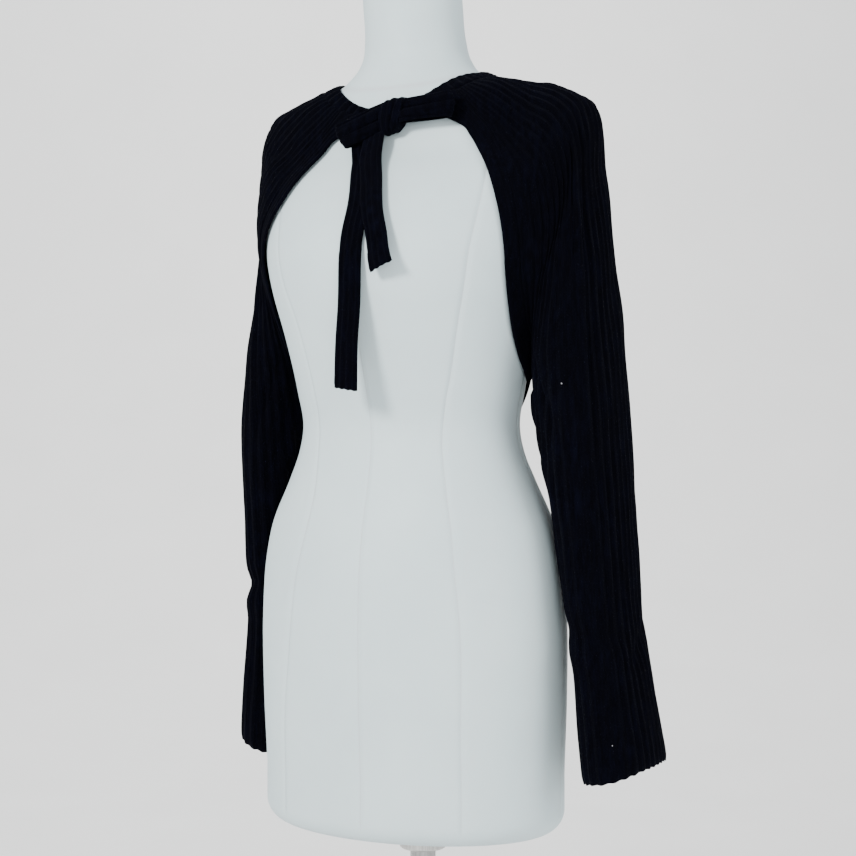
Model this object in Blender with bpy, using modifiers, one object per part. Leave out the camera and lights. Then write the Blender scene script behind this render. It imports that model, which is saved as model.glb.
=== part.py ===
"""A cropped rib-knit cardigan, tied at the neck with a bow, on a limbless dress form with its stand.

Metres, +Z up. The form faces -Y, the wearer's left is +X, and the origin is the centre of the
base's underside. The cloth's walls are lofted from rows that run out from the neck seam, over the
shoulders and down the sleeves, and every cloth wall keeps clear of the form's surface.
"""

import math

import bmesh
import bpy
import numpy as np

COLLECTION = "cropped_cardigan_on_dress_form"

# The dress form, one row for each height. Front and back are depths from the centre line.
FORM_ROWS = (
    # height, half_width, centre_y, front, back
    (0.690, 0.157, -0.022, 0.114, 0.114),
    (0.770, 0.160, -0.023, 0.117, 0.117),
    (0.850, 0.160, -0.024, 0.117, 0.117),
    (0.900, 0.156, -0.025, 0.113, 0.113),
    (0.934, 0.149, -0.026, 0.106, 0.106),
    (0.980, 0.129, -0.027, 0.093, 0.093),
    (1.005, 0.119, -0.028, 0.087, 0.085),
    (1.030, 0.114, -0.028, 0.086, 0.082),
    (1.068, 0.119, -0.027, 0.098, 0.083),
    (1.124, 0.131, -0.025, 0.119, 0.088),
    (1.168, 0.143, -0.024, 0.134, 0.093),
    (1.202, 0.151, -0.023, 0.136, 0.096),
    (1.240, 0.158, -0.020, 0.124, 0.098),
    (1.270, 0.166, -0.016, 0.107, 0.097),
    (1.300, 0.169, -0.010, 0.089, 0.092),
    (1.325, 0.168, -0.007, 0.082, 0.085),
    (1.338, 0.163, -0.007, 0.078, 0.080),
    (1.347, 0.157, -0.008, 0.074, 0.076),
    (1.356, 0.134, -0.009, 0.070, 0.072),
    (1.364, 0.110, -0.011, 0.065, 0.069),
    (1.373, 0.086, -0.012, 0.061, 0.065),
    (1.385, 0.067, -0.013, 0.057, 0.059),
    (1.400, 0.056, -0.014, 0.052, 0.053),
    (1.420, 0.0515, -0.017, 0.050, 0.050),
    (1.455, 0.0505, -0.023, 0.049, 0.049),
    (1.500, 0.0495, -0.030, 0.048, 0.048),
)
FORM_BOTTOM = 0.633
FORM_EDGE_RADIUS = 0.022
FORM_EDGE_TURNS = (0, 30, 60, 90)
FORM_LONGEST_STEP = 0.03
FORM_SIDES = 34
CAP_THICKNESS = 0.012
CAP_OVERHANG = 0.002

# The stand
BASE_RADIUS = 0.150
BASE_THICKNESS = 0.012
BASE_RIM_RADIUS = 0.003
POLE_RADIUS = 0.013
COLLAR_RADIUS = 0.024
COLLAR_LENGTH = 0.030
TURNED_SIDES = 24
SHARP_ANGLE = math.radians(50)

# The cloth
WALL = 0.0022
RIB_HEIGHT = 0.0016
RIBS_ROUND_SLEEVE = 28
RIB_PITCH = 0.0115
CLOTH_CLEARANCE = 0.0026
CLEARING_STEPS = 12
LONGEST_CLEARING_MOVE = 0.004
SEAM_GAP = 0.0003
BAND_WIDTH = 0.017
BAND_WALL = 0.0030
BAND_STEPS = 4
FOLD_LIFT = 0.0095
YOKE_STEPS = 14
HANG_STEPS = 7
LAST_OPEN = 0.97
EDGE_SPREAD = 0.18
NECK_GAP_ANGLE = 0.004
PATH_SAMPLES = 90
EDGE_LOOK = 0.03

# The opening's edge on each side, from the neckband to the underarm
LEFT_EDGE = (
    # along, x, y, z
    (0.00, 0.040, -0.086, 1.332),
    (0.14, 0.078, -0.086, 1.323),
    (0.28, 0.102, -0.091, 1.296),
    (0.42, 0.119, -0.098, 1.260),
    (0.56, 0.128, -0.097, 1.215),
    (0.70, 0.128, -0.086, 1.165),
    (0.84, 0.124, -0.058, 1.112),
    (1.00, 0.117, -0.014, 1.068),
)
RIGHT_EDGE = (
    # along, x, y, z
    (0.00, 0.010, -0.090, 1.329),
    (0.14, 0.047, -0.095, 1.317),
    (0.28, 0.075, -0.107, 1.286),
    (0.42, 0.098, -0.116, 1.248),
    (0.56, 0.124, -0.105, 1.210),
    (0.70, 0.128, -0.086, 1.165),
    (0.84, 0.124, -0.058, 1.112),
    (1.00, 0.117, -0.014, 1.068),
)
# The sleeve's back seam, from the neckband to the underarm
BACK_SEAM = (
    # along, x, y, z
    (0.00, 0.034, 0.060, 1.376),
    (0.20, 0.062, 0.075, 1.350),
    (0.40, 0.092, 0.085, 1.290),
    (0.60, 0.112, 0.078, 1.215),
    (0.80, 0.122, 0.056, 1.140),
    (1.00, 0.120, 0.022, 1.079),
)
# The line over each shoulder's top and down to the underarm's level
LEFT_SHOULDER = (
    # along, x, y, z
    (0.00, 0.094, -0.010, 1.372),
    (0.20, 0.128, -0.006, 1.366),
    (0.38, 0.159, -0.002, 1.359),
    (0.50, 0.1795, 0.002, 1.344),
    (0.58, 0.185, 0.004, 1.315),
    (0.68, 0.186, 0.004, 1.265),
    (0.82, 0.195, 0.004, 1.185),
    (1.00, 0.2095, 0.006, 1.079),
)
RIGHT_SHOULDER = (
    # along, x, y, z
    (0.00, 0.094, -0.010, 1.372),
    (0.20, 0.128, -0.006, 1.361),
    (0.38, 0.156, 0.000, 1.350),
    (0.50, 0.169, 0.010, 1.336),
    (0.58, 0.172, 0.018, 1.312),
    (0.68, 0.173, 0.028, 1.265),
    (0.82, 0.185, 0.032, 1.185),
    (1.00, 0.2130, 0.026, 1.079),
)
# How each row leaves its edge: a turn of 0 runs along the form, and 1 runs straight forwards or
# back. The reaches are the lengths of the row's leading directions at its edge and its top.
ROW_SHAPES = (
    # along, turn, edge_reach, outer_reach
    (0.00, 0.0, 0.040, 0.040),
    (0.30, 0.1, 0.050, 0.060),
    (0.55, 0.15, 0.045, 0.070),
    (0.80, 0.45, 0.055, 0.085),
    (1.00, 1.0, 0.090, 0.094),
)
# How much shorter the right sleeve's front reaches are at the neck, fading to none at the underarm
RIGHT_FRONT_LESS = 0.8
# The hanging sleeves' rings, a row for each level from the underarm down
HANG_ROWS = (
    # level, left_x, left_y, right_x, right_y, across, deep
    (1.079, 0.1700, 0.004, 0.1770, 0.025, 0.0420, 0.0700),
    (1.016, 0.1780, 0.002, 0.1880, 0.033, 0.0350, 0.0665),
    (0.950, 0.1862, -0.001, 0.1905, 0.041, 0.0318, 0.0630),
    (0.887, 0.1925, -0.003, 0.1873, 0.047, 0.0297, 0.0605),
    (0.788, 0.2062, -0.003, 0.1920, 0.050, 0.0296, 0.0565),
    (0.692, 0.2180, -0.003, 0.1960, 0.052, 0.0322, 0.0625),
)
# How the rows near the underarm ease into each other
EASE = 0.6
EASE_POWER = 0.5
EASE_ROWS = 4
EASE_PASSES = 6
HEM_RISE = 0.019
RIGHT_HEM_DROP = 0.009
HEM_RISE_LENGTH = 0.120
HEM_LOW_SHARE = 0.15
# The lead of a half ring's curve, as a share of its depth, that brings its front to that depth
HALF_RING_LEAD = 4 / 3

# The back panel
BACK_HEM = 1.000
BACK_RIBS = 18
BACK_ROW_RISE_POWER = 2.4

# The neckband: angles run from the front, through the wearer's left, to the back
LEFT_BAND_ANGLES = (25.0, 45.0)
RIGHT_BAND_ANGLES = (6.0, 30.0)
FIRST_FREE_EDGE = 0.15
BACK_SEAM_ANGLE = 158.8
NECKBAND_LEFT_END = 19.2
NECKBAND_RIGHT_END = -1.0
NECKBAND_RIBS = 56
# Each ring of the neckband: half_width, front_y, back_y, front_z, side_z, back_z
NECK_SEAM = (0.094, -0.0885, 0.0620, 1.330, 1.373, 1.378)
NECK_FREE_EDGE = (0.077, -0.0800, 0.0500, 1.339, 1.381, 1.395)
# The free edge rests on the form wherever it would sink into it
NECK_EDGE_CLEARANCE = 0.0009

# The bow and its tails
KNOT_CENTRE = (0.0180, -0.1013, 1.3300)
KNOT_HALF = (0.0122, 0.0118, 0.0165)
KNOT_BOXINESS = 0.72
TIE_WIDTH = 0.0240
TIE_WALL = 0.0022
TIE_RIBS = 4
# Each loop: side, length, thickness, then in degrees its tilt up, its end's lean and its turn back
LEFT_LOOP = (1.0, 0.053, 0.0195, 11.0, 0.0, 8.0)
RIGHT_LOOP = (-1.0, 0.046, 0.0195, -20.5, -25.0, -12.0)
LOOP_Y = -0.1040
# Where a loop's straight sides have points, and its thickness at the knot, as a share of its own
LOOP_SHARES = (0.0, 0.35, 0.7)
LOOP_ROOT = 0.55
# The tie's width at a loop's root and at its end, as shares of its own
LOOP_WIDTHS = (1.15, 1.15)
LOOP_BEND_STEPS = 8
LONG_TAIL = (
    # along, x, y, z, turn
    (0.00, -0.0135, -0.1049, 1.3068, 8.0),
    (0.12, -0.0050, -0.1180, 1.2740, 6.0),
    (0.30, 0.0035, -0.1450, 1.2390, 2.0),
    (0.50, 0.0045, -0.1640, 1.1960, 0.0),
    (0.75, 0.0022, -0.1650, 1.1300, 0.0),
    (1.00, -0.0017, -0.1640, 1.0660, -2.0),
)
SHORT_TAIL = (
    # along, x, y, z, turn
    (0.00, 0.0000, -0.1085, 1.3102, 4.0),
    (0.25, 0.0060, -0.1270, 1.2800, 2.0),
    (0.60, 0.0248, -0.1580, 1.2290, -4.0),
    (1.00, 0.0405, -0.1720, 1.1785, -8.0),
)
# The slope of the tails' top edges, which follow the right loop's lower edge, and of each lower end
TAIL_TOP_SLOPE = 0.445
LONG_TAIL_END_SLOPE = -0.15
SHORT_TAIL_END_SLOPE = 0.40
TAIL_SLOPE_FADE = 5
TAIL_STEPS = 12


def smooth_column(table, column, along):
    """A named column of a table, joined by a smooth curve through its rows."""
    keys = np.array([row[0] for row in table], float)
    values = np.array([row[column] for row in table], float)
    if keys[0] > keys[-1]:
        keys, values = keys[::-1], values[::-1]
    steps = np.diff(keys)
    slopes = np.diff(values) / steps
    tangents = np.empty(len(keys))
    tangents[0], tangents[-1] = slopes[0], slopes[-1]
    before, after = steps[:-1], steps[1:]
    tangents[1:-1] = (slopes[:-1] * after + slopes[1:] * before) / (before + after)
    along = np.clip(np.asarray(along, float), keys[0], keys[-1])
    i = np.clip(np.searchsorted(keys, along, side="right") - 1, 0, len(steps) - 1)
    h = steps[i]
    t = (along - keys[i]) / h
    return (
        (2 * t**3 - 3 * t**2 + 1) * values[i]
        + (t**3 - 2 * t**2 + t) * h * tangents[i]
        + (3 * t**2 - 2 * t**3) * values[i + 1]
        + (t**3 - t**2) * h * tangents[i + 1]
    )


def curve_point(table, along):
    return np.stack([smooth_column(table, c, along) for c in (1, 2, 3)], axis=-1)


def unit(vectors):
    return vectors / np.maximum(np.linalg.norm(vectors, axis=-1, keepdims=True), 1e-12)


def form_reach(points):
    """Above 1 outside the form's surface, below 1 inside it."""
    z = points[..., 2]
    y = points[..., 1] - smooth_column(FORM_ROWS, 2, z)
    depth = np.where(y < 0, smooth_column(FORM_ROWS, 3, z), smooth_column(FORM_ROWS, 4, z))
    return np.hypot(points[..., 0] / smooth_column(FORM_ROWS, 1, z), y / depth)


def form_slope(points):
    step = 1e-4
    sides = []
    for axis in np.eye(3) * step:
        sides.append((form_reach(points + axis) - form_reach(points - axis)) / (2 * step))
    return np.stack(sides, axis=-1)


def outside_form(points, clearance):
    """The points, with those nearer the form than the clearance moved straight out to it."""
    points = np.array(points, float)
    for _ in range(CLEARING_STEPS):
        slope = form_slope(points)
        steep = np.maximum(np.linalg.norm(slope, axis=-1), 1e-6)
        distance = (form_reach(points) - 1) / steep
        short = np.clip(clearance - distance, 0, LONGEST_CLEARING_MOVE)
        points += unit(slope) * short[..., None]
    return points


def on_form(points, clearance):
    """The points, each moved straight in or out until it lies at the clearance."""
    points = np.array(points, float)
    for _ in range(CLEARING_STEPS):
        slope = form_slope(points)
        steep = np.maximum(np.linalg.norm(slope, axis=-1), 1e-6)
        move = clearance - (form_reach(points) - 1) / steep
        move = np.clip(move, -LONGEST_CLEARING_MOVE, LONGEST_CLEARING_MOVE)
        points += unit(slope) * move[..., None]
    return points


def material(name, colour, roughness, metallic=0.0):
    made = bpy.data.materials.new(name)
    made.use_nodes = True
    surface = made.node_tree.nodes["Principled BSDF"]
    surface.inputs["Base Color"].default_value = (*colour, 1.0)
    surface.inputs["Roughness"].default_value = roughness
    surface.inputs["Metallic"].default_value = metallic
    return made


def add_mesh(name, points, faces, surface, parts):
    mesh = bpy.data.meshes.new(name)
    mesh.from_pydata([tuple(map(float, point)) for point in points], [], faces)
    outward = bmesh.new()
    outward.from_mesh(mesh)
    bmesh.ops.recalc_face_normals(outward, faces=outward.faces)
    outward.to_mesh(mesh)
    outward.free()
    mesh.materials.append(surface)
    mesh.shade_smooth()
    mesh.set_sharp_from_angle(angle=SHARP_ANGLE)
    made = bpy.data.objects.new(name, mesh)
    parts.objects.link(made)
    return made


def ring_point(ring, angle):
    """A point of a ring round the neck, at an angle from the front."""
    half_width, front_y, back_y, front_z, side_z, back_z = ring
    cosine = np.cos(angle)
    middle_y, half_depth = (front_y + back_y) / 2, (back_y - front_y) / 2
    end_z = np.where(cosine > 0, front_z, back_z)
    z = side_z + (end_z - side_z) * cosine**2
    return np.stack([half_width * np.sin(angle), middle_y - half_depth * cosine, z], axis=-1)


def neck_seam(angle):
    return on_form(ring_point(NECK_SEAM, angle), CLOTH_CLEARANCE)


def wall_normals(grid, closed_from):
    """Outward directions of a grid of cloth. Rows from closed_from on are closed rings."""
    along, around = np.gradient(grid, axis=(0, 1))
    ends = grid[closed_from:, 1] - grid[closed_from:, -2]
    around[closed_from:, 0] = ends
    around[closed_from:, -1] = ends
    return unit(np.cross(along, around))


def cloth_wall(name, grid, normals, wall, surface, parts, closed_from=None, ribbed=True):
    """A cloth wall on a grid of inner points, with ribs raised in its outer points.

    The grid has an even number of steps across the ribs. Each even column carries a rib's crest,
    and the plain inner side takes every second column. Rows from closed_from on are closed rings.
    """
    rows, columns = grid.shape[:2]
    closed_from = rows if closed_from is None else closed_from
    steps = np.linalg.norm(np.diff(grid, axis=1), axis=-1)
    pitch = np.concatenate([steps[:, :1], (steps[:, 1:] + steps[:, :-1]) / 2, steps[:, -1:]], axis=1)
    crest = np.where(np.arange(columns) % 2 == 0, RIB_HEIGHT, 0.0) * ribbed
    raised = crest * np.clip(2 * pitch / RIB_PITCH, 0.1, 1.0)
    outer = grid + normals * (wall + raised)[..., None]
    points, faces = [], []

    def numbered(layer):
        """Adds the layer's points, making one point of the two ends of each closed row."""
        index = np.zeros(layer.shape[:2], int)
        for r in range(rows):
            for c in range(layer.shape[1]):
                if r >= closed_from and c == layer.shape[1] - 1:
                    index[r, c] = index[r, 0]
                else:
                    index[r, c] = len(points)
                    points.append(layer[r, c])
        return index

    out, back = numbered(outer), numbered(grid[:, ::2])
    for r in range(rows - 1):
        for c in range(columns - 1):
            faces.append((out[r, c], out[r + 1, c], out[r + 1, c + 1], out[r, c + 1]))
        for c in range(columns // 2):
            faces.append((back[r, c], back[r, c + 1], back[r + 1, c + 1], back[r + 1, c]))
    for r in (0, rows - 1):
        for c in range(columns // 2):
            faces.append((back[r, c], back[r, c + 1], out[r, 2 * c + 1]))
            faces.append((back[r, c], out[r, 2 * c + 1], out[r, 2 * c]))
            faces.append((back[r, c + 1], out[r, 2 * c + 2], out[r, 2 * c + 1]))
    for r in range(min(closed_from, rows - 1)):
        for c in (0, -1):
            faces.append((out[r, c], out[r + 1, c], back[r + 1, c], back[r, c]))
    return add_mesh(name, points, faces, surface, parts)


def bezier(start, lead, trail, end, t):
    t = t[..., None]
    return (1 - t) ** 3 * start + 3 * (1 - t) ** 2 * t * lead + 3 * (1 - t) * t**2 * trail + t**3 * end


def path_lengths(path):
    return np.concatenate([[0], np.cumsum(np.linalg.norm(np.diff(path, axis=0), axis=1))])


def spaced(path, share):
    """Points of a sampled path, at shares of its length."""
    length = path_lengths(path)
    return np.stack([np.interp(share * length[-1], length, path[:, c]) for c in range(3)], axis=1)


def rib_places(path, half_ribs):
    """Points from a sampled path's start: a rib's pitch apart at first, crowding towards its end."""
    crowding = max(1.0, half_ribs * RIB_PITCH / 2 / path_lengths(path)[-1])
    share = np.linspace(0, 1, half_ribs + 1)
    return spaced(path, (1 - EDGE_SPREAD) * (1 - (1 - share) ** crowding) + EDGE_SPREAD * share)


def half_row(edge, across, top, shape, forwards):
    """Points from the shoulder line to one edge of an open row, lifted clear where it bends."""
    turn, edge_reach, outer_reach = shape
    side = np.array([0.0, forwards, 0.0])
    leave = unit(across * (1 - turn) + side * turn)
    bend = math.acos(float(np.clip(leave @ across, -1, 1)))
    sideways = SEAM_GAP + (WALL + RIB_HEIGHT) * math.sin(bend)
    lift = FOLD_LIFT * (1 - math.cos(bend)) / 2
    start = edge + across * sideways + unit(form_slope(edge)) * lift
    t = np.linspace(0, 1, PATH_SAMPLES)
    path = bezier(top, top + side * outer_reach, start + leave * edge_reach, start, t)
    return rib_places(outside_form(path, CLOTH_CLEARANCE), RIBS_ROUND_SLEEVE)


def edge_frame(table, along):
    """Points of an edge on the form, and the direction there across the edge, over the cloth."""
    edge = on_form(curve_point(table, along), CLOTH_CLEARANCE)
    before = curve_point(table, np.maximum(along - EDGE_LOOK, 0))
    ahead = curve_point(table, np.minimum(along + EDGE_LOOK, 1)) - before
    across = unit(np.cross(unit(form_slope(edge)), unit(ahead)))
    return edge, across


def yoke_edges(table, band_angles):
    """The opening's edge, the band's seam and the back seam, at each row and at the band's end."""
    rows = np.arange(YOKE_STEPS)
    forward = FIRST_FREE_EDGE + (1 - FIRST_FREE_EDGE) * (rows - 1) / (YOKE_STEPS - 1)
    opening, across = edge_frame(table, np.append(forward, LAST_OPEN))
    front = on_form(opening + across * BAND_WIDTH, CLOTH_CLEARANCE)
    opening[0], front[0] = neck_seam(np.radians(band_angles))
    back, back_across = edge_frame(BACK_SEAM, np.append(rows / YOKE_STEPS, LAST_OPEN))
    back[0] = neck_seam(math.radians(BACK_SEAM_ANGLE))
    return opening, front, across, back, -back_across


def hanging_row(level, side):
    """One closed ring of a hanging sleeve, starting and ending at its innermost point."""
    first = 1 if side > 0 else 3
    columns = (first, first + 1, 5, 6)
    x, y, across, deep = (float(smooth_column(HANG_ROWS, c, level)) for c in columns)
    inner, outer = np.array([x - across, y, level]), np.array([x + across, y, level])
    share = np.linspace(0, 1, RIBS_ROUND_SLEEVE + 1)
    halves = []
    for forwards in (-1.0, 1.0):
        lead = np.array([0.0, forwards * deep * HALF_RING_LEAD, 0.0])
        path = bezier(outer, outer + lead, inner + lead, inner, np.linspace(0, 1, PATH_SAMPLES))
        halves.append(spaced(path, share))
    ring = np.concatenate([halves[0][::-1], halves[1][1:]])
    rise = max(0.0, 1 - (level - HANG_ROWS[-1][0]) / HEM_RISE_LENGTH) * HEM_RISE
    ring[:, 2] += rise * ((ring[:, 0] - x + across) / (2 * across) - HEM_LOW_SHARE)
    return ring


def eased(grid):
    """The sleeve's grid with its rows near the underarm eased into each other, away from its seams."""
    across = np.linspace(0, 1, grid.shape[1])[:, None]
    share = EASE * np.sin(math.pi * across) ** EASE_POWER
    for _ in range(EASE_PASSES):
        for r in range(YOKE_STEPS - EASE_ROWS, YOKE_STEPS + EASE_ROWS):
            between = (grid[r - 1] + grid[r + 1]) / 2
            grid[r] = outside_form(grid[r] * (1 - share) + between * share, CLOTH_CLEARANCE)
    return grid


def sleeve_grid(side, edges):
    """The inner points of a sleeve, drawn on the wearer's left, from the neck seam to the cuff."""
    opening, front, across, back, back_across = edges
    shoulder = LEFT_SHOULDER if side > 0 else RIGHT_SHOULDER
    quarter = math.pi / 2
    first = math.radians((LEFT_BAND_ANGLES if side > 0 else RIGHT_BAND_ANGLES)[1]) + NECK_GAP_ANGLE
    last = math.radians(BACK_SEAM_ANGLE) - NECK_GAP_ANGLE
    ahead = rib_places(neck_seam(np.linspace(quarter, first, PATH_SAMPLES)), RIBS_ROUND_SLEEVE)
    behind = rib_places(neck_seam(np.linspace(quarter, last, PATH_SAMPLES)), RIBS_ROUND_SLEEVE)
    rows = [np.concatenate([ahead[::-1], behind[1:]])]
    for r in range(1, YOKE_STEPS):
        along = r / YOKE_STEPS
        shape = [float(smooth_column(ROW_SHAPES, c, along)) for c in (1, 2, 3)]
        top = curve_point(shoulder, along)
        behind = half_row(back[r], back_across[r], top, shape, 1.0)
        if side < 0:
            shape[2] *= 1 - RIGHT_FRONT_LESS * math.sqrt(1 - along)
        ahead = half_row(front[r], across[r], top, shape, -1.0)
        rows.append(np.concatenate([ahead[::-1], behind[1:]]))
    lowest = HANG_ROWS[-1][0] - (RIGHT_HEM_DROP if side < 0 else 0)
    levels = np.linspace(HANG_ROWS[0][0], lowest, HANG_STEPS + 1)
    rows += [hanging_row(level, side) for level in levels]
    return eased(np.array(rows))


def add_sleeve(name, side, edges, surface, parts):
    grid = sleeve_grid(side, edges)
    normals = wall_normals(grid, YOKE_STEPS)
    normals[0] = unit(form_slope(grid[0]))
    mirror = np.array([side, 1.0, 1.0])
    return cloth_wall(name, grid * mirror, normals * mirror, WALL, surface, parts, YOKE_STEPS)


def strip_grid(first, last, steps):
    share = np.linspace(0, 1, steps + 1)[None, :, None]
    return on_form(first[:, None] * (1 - share) + last[:, None] * share, CLOTH_CLEARANCE)


def add_front_band(name, side, edges, angles, surface, parts):
    """The plain band along one side of the opening, from the neckband to the underarm."""
    opening, front = edges[0], edges[1]
    grid = strip_grid(opening, front, BAND_STEPS)
    seam = neck_seam(np.radians(np.linspace(*angles, BAND_STEPS + 1)))
    grid[0] = seam + unit(grid[1] - seam) * SEAM_GAP
    mirror = np.array([side, 1.0, 1.0])
    normals = unit(form_slope(grid)) * mirror
    return cloth_wall(name, grid * mirror, normals, BAND_WALL, surface, parts, ribbed=False)


def whole_row(half):
    """A row from the wearer's left to the middle, carried on to the right."""
    return np.concatenate([half, half[-2::-1] * np.array([-1.0, 1.0, 1.0])])


def back_row(corner, middle_z):
    """A row of the back panel from one raglan seam to the middle of the back."""
    share = np.linspace(0, 1, BACK_RIBS + 1)
    z = middle_z + (corner[2] - middle_z) * (1 - share) ** BACK_ROW_RISE_POWER
    x = corner[0] * (1 - share)
    depth = smooth_column(FORM_ROWS, 4, z)
    width = smooth_column(FORM_ROWS, 1, z) + CLOTH_CLEARANCE
    y = smooth_column(FORM_ROWS, 2, z) + depth * np.sqrt(np.clip(1 - (x / width) ** 2, 0, 1))
    row = on_form(np.stack([x, y, z], axis=-1), CLOTH_CLEARANCE)
    row[0] = corner
    return row


def back_panel_rows(edges):
    """The back panel's inner points: half rows from the left raglan seam to the middle."""
    back, back_across = edges[3], edges[4]
    corners = on_form(back - back_across * SEAM_GAP, CLOTH_CLEARANCE)
    first = math.radians(BACK_SEAM_ANGLE) + NECK_GAP_ANGLE
    seam = neck_seam(np.linspace(first, math.pi, BACK_RIBS + 1))
    low = BACK_HEM + BAND_WIDTH
    rows = [seam]
    for r in range(1, len(corners)):
        middle_z = seam[-1][2] + (low - seam[-1][2]) * r / (len(corners) - 1)
        rows.append(back_row(corners[r], middle_z))
    return np.array(rows)


def add_back_panel(rows, surface, parts):
    grid = np.array([whole_row(row) for row in rows])
    return cloth_wall("back_panel", grid, unit(form_slope(grid)), WALL, surface, parts)


def hem_band_rows(edges, panel_rows):
    """The hem band's half rows, from the end of the left front band to the middle of the back."""
    opening, front = edges[0], edges[1]
    gap = unit(opening[-1] - opening[-2]) * SEAM_GAP * 2
    seam = panel_rows[-1]
    down = unit(np.cross(unit(form_slope(seam)), np.gradient(seam, axis=0)))
    down *= np.sign(-down[:, 2:])
    upper = seam + down * SEAM_GAP * 2
    lower = upper + down * BAND_WIDTH
    rows = []
    for start, rest in ((front[-1] + gap, upper), (opening[-1] + gap, lower)):
        between = on_form((start + rest[0]) / 2, CLOTH_CLEARANCE)
        rows.append(np.concatenate([[start, between], rest]))
    return rows


def add_back_hem_band(edges, panel_rows, surface, parts):
    """The band under the back panel, from the end of one front band to the end of the other."""
    upper, lower = hem_band_rows(edges, panel_rows)
    grid = strip_grid(whole_row(upper), whole_row(lower), 2)
    normals = unit(form_slope(grid))
    return cloth_wall("back_hem_band", grid, normals, BAND_WALL, surface, parts, ribbed=False)


def add_neckband(surface, parts):
    """The neckband from one side of the knot, round the back, to the other, ribbed crosswise."""
    ends = (NECKBAND_LEFT_END, 360 + NECKBAND_RIGHT_END)
    angle = np.radians(np.linspace(*ends, 2 * NECKBAND_RIBS + 1))
    seam = neck_seam(angle)
    free = outside_form(ring_point(NECK_FREE_EDGE, angle), NECK_EDGE_CLEARANCE)
    share = (SEAM_GAP * 2 / np.linalg.norm(free - seam, axis=-1))[:, None]
    rows = [seam + (free - seam) * (share + (1 - share) * t) for t in (0.0, 0.5, 1.0)]
    grid = np.array(rows)
    normals = wall_normals(grid, len(grid))
    normals *= np.sign(np.sum(normals * form_slope(grid), axis=-1, keepdims=True))
    normals[0] = unit(form_slope(grid[0]))
    return cloth_wall("neckband", grid, normals, WALL, surface, parts)


def add_knot(surface, parts):
    """The bow's knot, a rounded block."""
    knot = bmesh.new()
    bmesh.ops.create_uvsphere(knot, u_segments=16, v_segments=10, radius=1.0)
    points = np.array([vertex.co for vertex in knot.verts])
    squared = np.sign(points) * np.abs(points) ** KNOT_BOXINESS
    faces = [tuple(vertex.index for vertex in face.verts) for face in knot.faces]
    knot.free()
    return add_mesh("bow_knot", squared * KNOT_HALF + KNOT_CENTRE, faces, surface, parts)


def add_loop(name, values, surface, parts):
    """A loop of the bow, its strip on edge: it runs out from the knot, turns, and runs back behind."""
    side, length, thickness, tilt, lean, turn = values
    half = thickness / 2 - TIE_WALL - RIB_HEIGHT
    straight = length - thickness / 2
    out = [(straight * share, half * (LOOP_ROOT + (1 - LOOP_ROOT) * share)) for share in LOOP_SHARES]
    bend = [
        (straight + half * math.sin(a), half * math.cos(a))
        for a in np.radians(np.linspace(0, 180, LOOP_BEND_STEPS + 1))
    ]
    outline = np.array(out + bend + [(x, -y) for x, y in reversed(out)])
    away = outline[:, :1]
    share = away / length
    across = np.linspace(-TIE_WIDTH / 2, TIE_WIDTH / 2, 2 * TIE_RIBS + 1)
    across = across * (LOOP_WIDTHS[0] + (LOOP_WIDTHS[1] - LOOP_WIDTHS[0]) * share)
    leans = share * math.radians(lean)
    grid = np.zeros((*across.shape, 3))
    grid[..., 0] = KNOT_CENTRE[0] + side * (KNOT_HALF[0] + SEAM_GAP * 2 + away - across * np.sin(leans))
    grid[..., 1] = LOOP_Y - outline[:, 1:] + away * math.tan(math.radians(turn))
    grid[..., 2] = KNOT_CENTRE[2] + away * math.tan(math.radians(tilt)) + across * np.cos(leans)
    normals = wall_normals(grid, len(grid))
    middle = grid.mean(axis=(0, 1))
    normals *= np.sign(np.sum(normals * (grid - middle), axis=-1).sum())
    return cloth_wall(name, grid, normals, TIE_WALL, surface, parts)


def add_tail(name, table, end_slope, clearance, surface, parts):
    """A tail of the bow, hanging down the form's front, ribbed lengthwise."""
    along = np.linspace(0, 1, TAIL_STEPS + 1)
    middle = curve_point(table, along)
    turn = np.radians(smooth_column(table, 4, along))
    width = np.linspace(-TIE_WIDTH / 2, TIE_WIDTH / 2, 2 * TIE_RIBS + 1)
    across = np.stack([np.cos(turn), np.sin(turn), 0 * turn], axis=-1)
    grid = middle[:, None] + across[:, None] * width[None, :, None]
    share = along[:, None]
    slope = TAIL_TOP_SLOPE * (1 - share) ** TAIL_SLOPE_FADE + end_slope * share**TAIL_SLOPE_FADE
    grid[..., 2] += slope * width
    grid = outside_form(grid, clearance)
    normals = wall_normals(grid, len(grid))
    normals *= -np.sign(normals[..., 1:2])
    return cloth_wall(name, grid, normals, TIE_WALL, surface, parts)


def form_heights():
    """The levels of the torso's rings: the table's own, with one between those far apart."""
    levels = []
    for low, high in zip(FORM_ROWS, FORM_ROWS[1:]):
        levels.append(low[0])
        if high[0] - low[0] > FORM_LONGEST_STEP:
            levels.append((low[0] + high[0]) / 2)
    return levels + [FORM_ROWS[-1][0]]


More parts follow.
